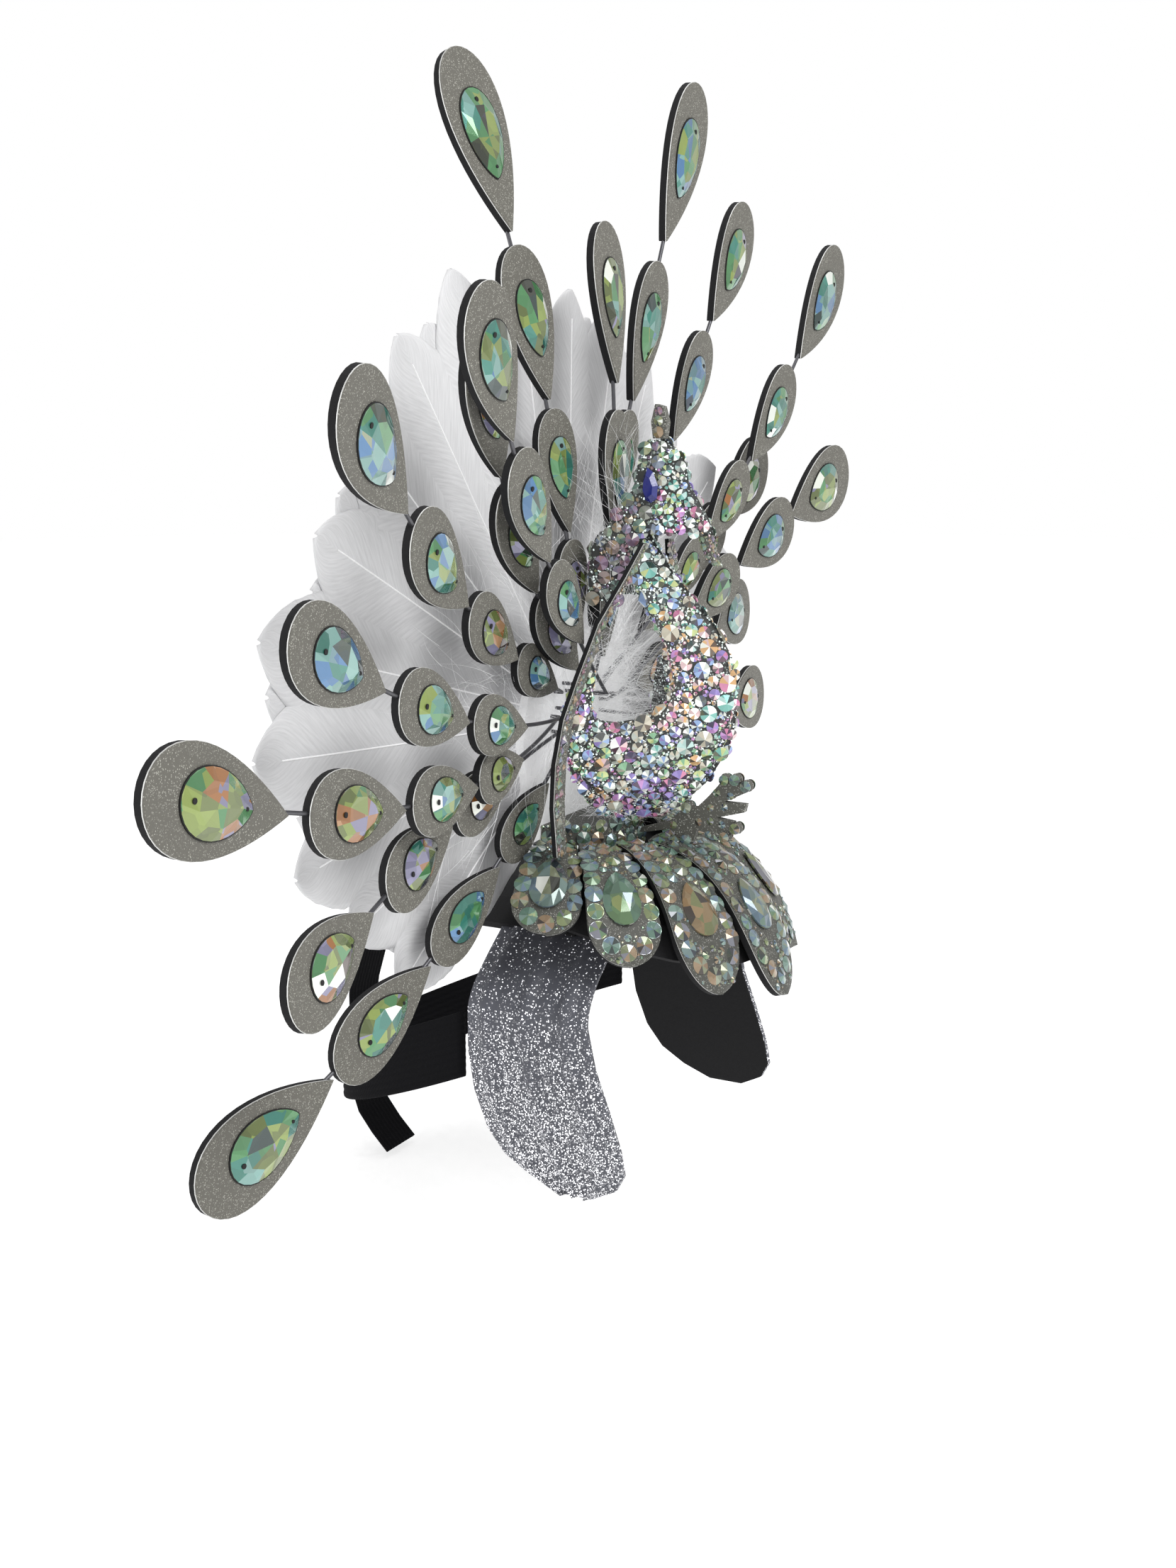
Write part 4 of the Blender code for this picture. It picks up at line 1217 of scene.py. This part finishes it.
# place from the target along right, up and back, size, watts
LIGHTS = {"key": ((0.9, 1.0, 1.0), 0.8, 15), "fill": ((-1.2, 0.3, 0.8), 1.2, 6),
          "top": ((0.0, 1.5, -0.4), 1.0, 4)}
FLOOR_GLOW, FLOOR_REACH = 0.62, 4000.0
LENS, SENSOR = 45.3, 36.0


def aimed(name, data, away):
    """Camera or lamp at that place from the target, turned towards it."""
    obj = bpy.data.objects.new(name, data)
    bpy.context.scene.collection.objects.link(obj)
    obj.location = TARGET + away
    obj.rotation_mode = "QUATERNION"
    obj.rotation_quaternion = (-away).to_track_quat("-Z", "Y")
    return obj


def build_stage(sizes):
    """Pale floor, soft lights, white surround and camera at the photograph's angle."""
    scene = bpy.context.scene
    back = Vector((-math.cos(YAW) * math.cos(RISE), -math.sin(YAW) * math.cos(RISE),
                   math.sin(RISE)))
    camera = aimed("camera", bpy.data.cameras.new("camera"), back * AWAY)
    camera.data.lens, camera.data.sensor_width = LENS, SENSOR
    camera.data.clip_start = 0.01
    scene.camera = camera
    right = Vector((math.sin(YAW), -math.cos(YAW), 0))
    up = right.cross(-back)
    for name, (spot, size, watts) in LIGHTS.items():
        lamp = aimed(name, bpy.data.lights.new(name, "AREA"),
                     right * spot[0] + up * spot[1] + back * spot[2])
        lamp.data.size = size
        lamp.data.energy = watts
    world = bpy.data.worlds.new("surround")
    scene.world = world
    world.use_nodes = True
    tree = world.node_tree
    tree.nodes.clear()
    seen, light = (add(tree, "ShaderNodeBackground", Color=(1, 1, 1, 1),
                       Strength=strength).outputs[0] for strength in (FLOOR_GLOW, 1.0))
    path = tree.nodes.new("ShaderNodeLightPath")
    mix = add(tree, "ShaderNodeMixShader", Fac=path.outputs["Is Camera Ray"])
    tree.links.new(seen, mix.inputs[1])
    tree.links.new(light, mix.inputs[2])
    add(tree, "ShaderNodeOutputWorld", Surface=mix.outputs[0])
    grained("floor", (0.6, 0.6, 0.6), 0.95, specular=0.05, scale=400.0, strength=0.0,
            glow=FLOOR_GLOW)
    mesh_object("floor", circle(FLOOR_REACH, 64, sizes.floor_z / MM),
                         [tuple(range(64))], ["floor"])
    scene.view_settings.view_transform = "Standard"


SHAPES = {}


def prepare(colours):
    make_finishes(colours)
    paint_frame()
    copies_tree()
    tubes_tree()
    SHAPES["round"], SHAPES["small"] = round_gem(), small_gem()
    SHAPES["pear"], SHAPES["strand"] = pear_gem(), strand()
    # outline of the painted shadow rim under a drop stone
    rim = pear(1025.0, 1025.0 * STONE_SLIM + 10.0, 36, 0.45)
    SHAPES["seat"] = rings_solid("seat", [[(x, y, z) for x, y in rim]
                                          for z in (-200, 700)])
    SHAPES["dot"] = rings_solid("dot", [circle(1000, 12, -150), circle(1000, 12, 150)])


def clear_shapes():
    for shape in SHAPES.values():
        bpy.data.objects.remove(shape, do_unlink=True)
    SHAPES.clear()


# ---- add-on


class HeaddressSizes(bpy.types.PropertyGroup):
    drop_sides: bpy.props.IntProperty(
        name="Drop sides", description="Points round each foam drop", default=44,
        min=16, max=96)
    cap_thick: bpy.props.FloatProperty(
        name="Glitter face", description="Thickness of the glitter foam on a drop",
        default=0.0006, min=0.0003, max=0.002, unit="LENGTH")
    line_thick: bpy.props.FloatProperty(
        name="Bright line", description="Height of the bright line under the face",
        default=0.0004, min=0.0001, max=0.001, unit="LENGTH")
    vane_width: bpy.props.FloatProperty(
        name="Feather width", description="Widest part of each feather",
        default=0.062, min=0.03, max=0.09, unit="LENGTH")
    elastic_ribs: bpy.props.IntProperty(
        name="Elastic ribs", description="Ribs woven along the elastic", default=9,
        min=3, max=18)
    ridge_height: bpy.props.FloatProperty(
        name="Flap ridges", description="Height of the three ridges of a side flap",
        default=0.003, min=0.0, max=0.004, unit="LENGTH")
    fluff_strands: bpy.props.IntProperty(
        name="Down", description="Loose barbs round the hub of the fan", default=1500,
        min=0, max=4000)
    floor_z: bpy.props.FloatProperty(
        name="Floor height", description="Height of the floor under the display",
        default=-0.166, min=-1.0, max=-0.164, unit="LENGTH")


class HeaddressColours(bpy.types.PropertyGroup):
    taupe: bpy.props.FloatVectorProperty(
        name="Drop glitter", description="Ground colour of the drops' faces",
        subtype="COLOR", size=3, default=(0.135, 0.130, 0.112), min=0, max=1)
    slate: bpy.props.FloatVectorProperty(
        name="Flap glitter", description="Ground colour of the side flaps",
        subtype="COLOR", size=3, default=(0.085, 0.088, 0.105), min=0, max=1)
    feather: bpy.props.FloatVectorProperty(
        name="Feathers", description="Colour of the feather vanes", subtype="COLOR",
        size=3, default=(0.78, 0.78, 0.79), min=0, max=1)


class HEADDRESS_OT_prepare(bpy.types.Operator):
    """Make the finishes, the geometry trees and the single stones"""
    bl_idname = "headdress.prepare"
    bl_label = "Finishes and stones"

    def execute(self, context):
        prepare(context.scene.headdress_colours)
        return {"FINISHED"}


class HEADDRESS_OT_drops(bpy.types.Operator):
    """Make the foam drops and their cut stones"""
    bl_idname = "headdress.drops"
    bl_label = "Drops"

    def execute(self, context):
        build_drops(context.scene.headdress_sizes)
        build_drop_stones()
        return {"FINISHED"}


class HEADDRESS_OT_wires(bpy.types.Operator):
    """Make the steel wires that carry the drops"""
    bl_idname = "headdress.wires"
    bl_label = "Wires"

    def execute(self, context):
        build_wires()
        return {"FINISHED"}


class HEADDRESS_OT_feathers(bpy.types.Operator):
    """Make both halves of the feather fan and their quills"""
    bl_idname = "headdress.feathers"
    bl_label = "Feather fan"

    def execute(self, context):
        build_feathers(context.scene.headdress_sizes)
        return {"FINISHED"}


class HEADDRESS_OT_down(bpy.types.Operator):
    """Make the loose down at the feathers' roots"""
    bl_idname = "headdress.down"
    bl_label = "Down"

    def execute(self, context):
        build_fluff(context.scene.headdress_sizes)
        return {"FINISHED"}


class HEADDRESS_OT_bird(bpy.types.Operator):
    """Pave the bird's breast and head with stones"""
    bl_idname = "headdress.bird"
    bl_label = "Stones on the bird"

    def execute(self, context):
        build_breast()
        build_head()
        return {"FINISHED"}


class HEADDRESS_OT_wings(bpy.types.Operator):
    """Make the two foam wings and their stones"""
    bl_idname = "headdress.wings"
    bl_label = "Wings"

    def execute(self, context):
        build_wings()
        return {"FINISHED"}


class HEADDRESS_OT_trim(bpy.types.Operator):
    """Set the stones of the beak, crest, foot and front ornament"""
    bl_idname = "headdress.trim"
    bl_label = "Small stones"

    def execute(self, context):
        build_trim_stones()
        return {"FINISHED"}


class HEADDRESS_OT_petals(bpy.types.Operator):
    """Make the seven foam petals over the brow and their stones"""
    bl_idname = "headdress.petals"
    bl_label = "Petals"

    def execute(self, context):
        build_petals()
        build_petal_stones()
        return {"FINISHED"}


class HEADDRESS_OT_flaps(bpy.types.Operator):
    """Make the two ridged glitter flaps at the sides"""
    bl_idname = "headdress.flaps"
    bl_label = "Side flaps"

    def execute(self, context):
        build_flaps(context.scene.headdress_sizes)
        return {"FINISHED"}


class HEADDRESS_OT_elastic(bpy.types.Operator):
    """Make the woven elastic strap and strip"""
    bl_idname = "headdress.elastic"
    bl_label = "Elastic"

    def execute(self, context):
        build_elastic(context.scene.headdress_sizes)
        return {"FINISHED"}


class HEADDRESS_OT_stage(bpy.types.Operator):
    """Make the floor, the lights, the surround and the camera"""
    bl_idname = "headdress.stage"
    bl_label = "Stage"

    def execute(self, context):
        build_stage(context.scene.headdress_sizes)
        return {"FINISHED"}


OPERATORS = (
    HEADDRESS_OT_prepare, HEADDRESS_OT_drops, HEADDRESS_OT_wires,
    HEADDRESS_OT_feathers, HEADDRESS_OT_down, HEADDRESS_OT_bird, HEADDRESS_OT_wings,
    HEADDRESS_OT_trim, HEADDRESS_OT_petals, HEADDRESS_OT_flaps, HEADDRESS_OT_elastic,
    HEADDRESS_OT_stage)


class HEADDRESS_PT_panel(bpy.types.Panel):
    """Sizes, colours and building steps of the headdress"""
    bl_label = "Headdress"
    bl_space_type = "VIEW_3D"
    bl_region_type = "UI"
    bl_category = "Headdress"

    def draw(self, context):
        for group in (context.scene.headdress_sizes, context.scene.headdress_colours):
            for name in group.__annotations__:
                self.layout.prop(group, name)
        for step in OPERATORS:
            self.layout.operator(step.bl_idname)


CLASSES = (HeaddressSizes, HeaddressColours, *OPERATORS, HEADDRESS_PT_panel)


def register():
    for cls in CLASSES:
        bpy.utils.register_class(cls)
    bpy.types.Scene.headdress_sizes = bpy.props.PointerProperty(type=HeaddressSizes)
    bpy.types.Scene.headdress_colours = bpy.props.PointerProperty(type=HeaddressColours)


def unregister():
    del bpy.types.Scene.headdress_colours
    del bpy.types.Scene.headdress_sizes
    for cls in reversed(CLASSES):
        bpy.utils.unregister_class(cls)


def main():
    register()
    bpy.ops.headdress.prepare()
    bpy.ops.headdress.drops()
    bpy.ops.headdress.wires()
    bpy.ops.headdress.feathers()
    bpy.ops.headdress.down()
    bpy.ops.headdress.bird()
    bpy.ops.headdress.wings()
    bpy.ops.headdress.trim()
    bpy.ops.headdress.petals()
    bpy.ops.headdress.flaps()
    bpy.ops.headdress.elastic()
    bpy.ops.headdress.stage()
    clear_shapes()


if __name__ == "__main__":
    main()
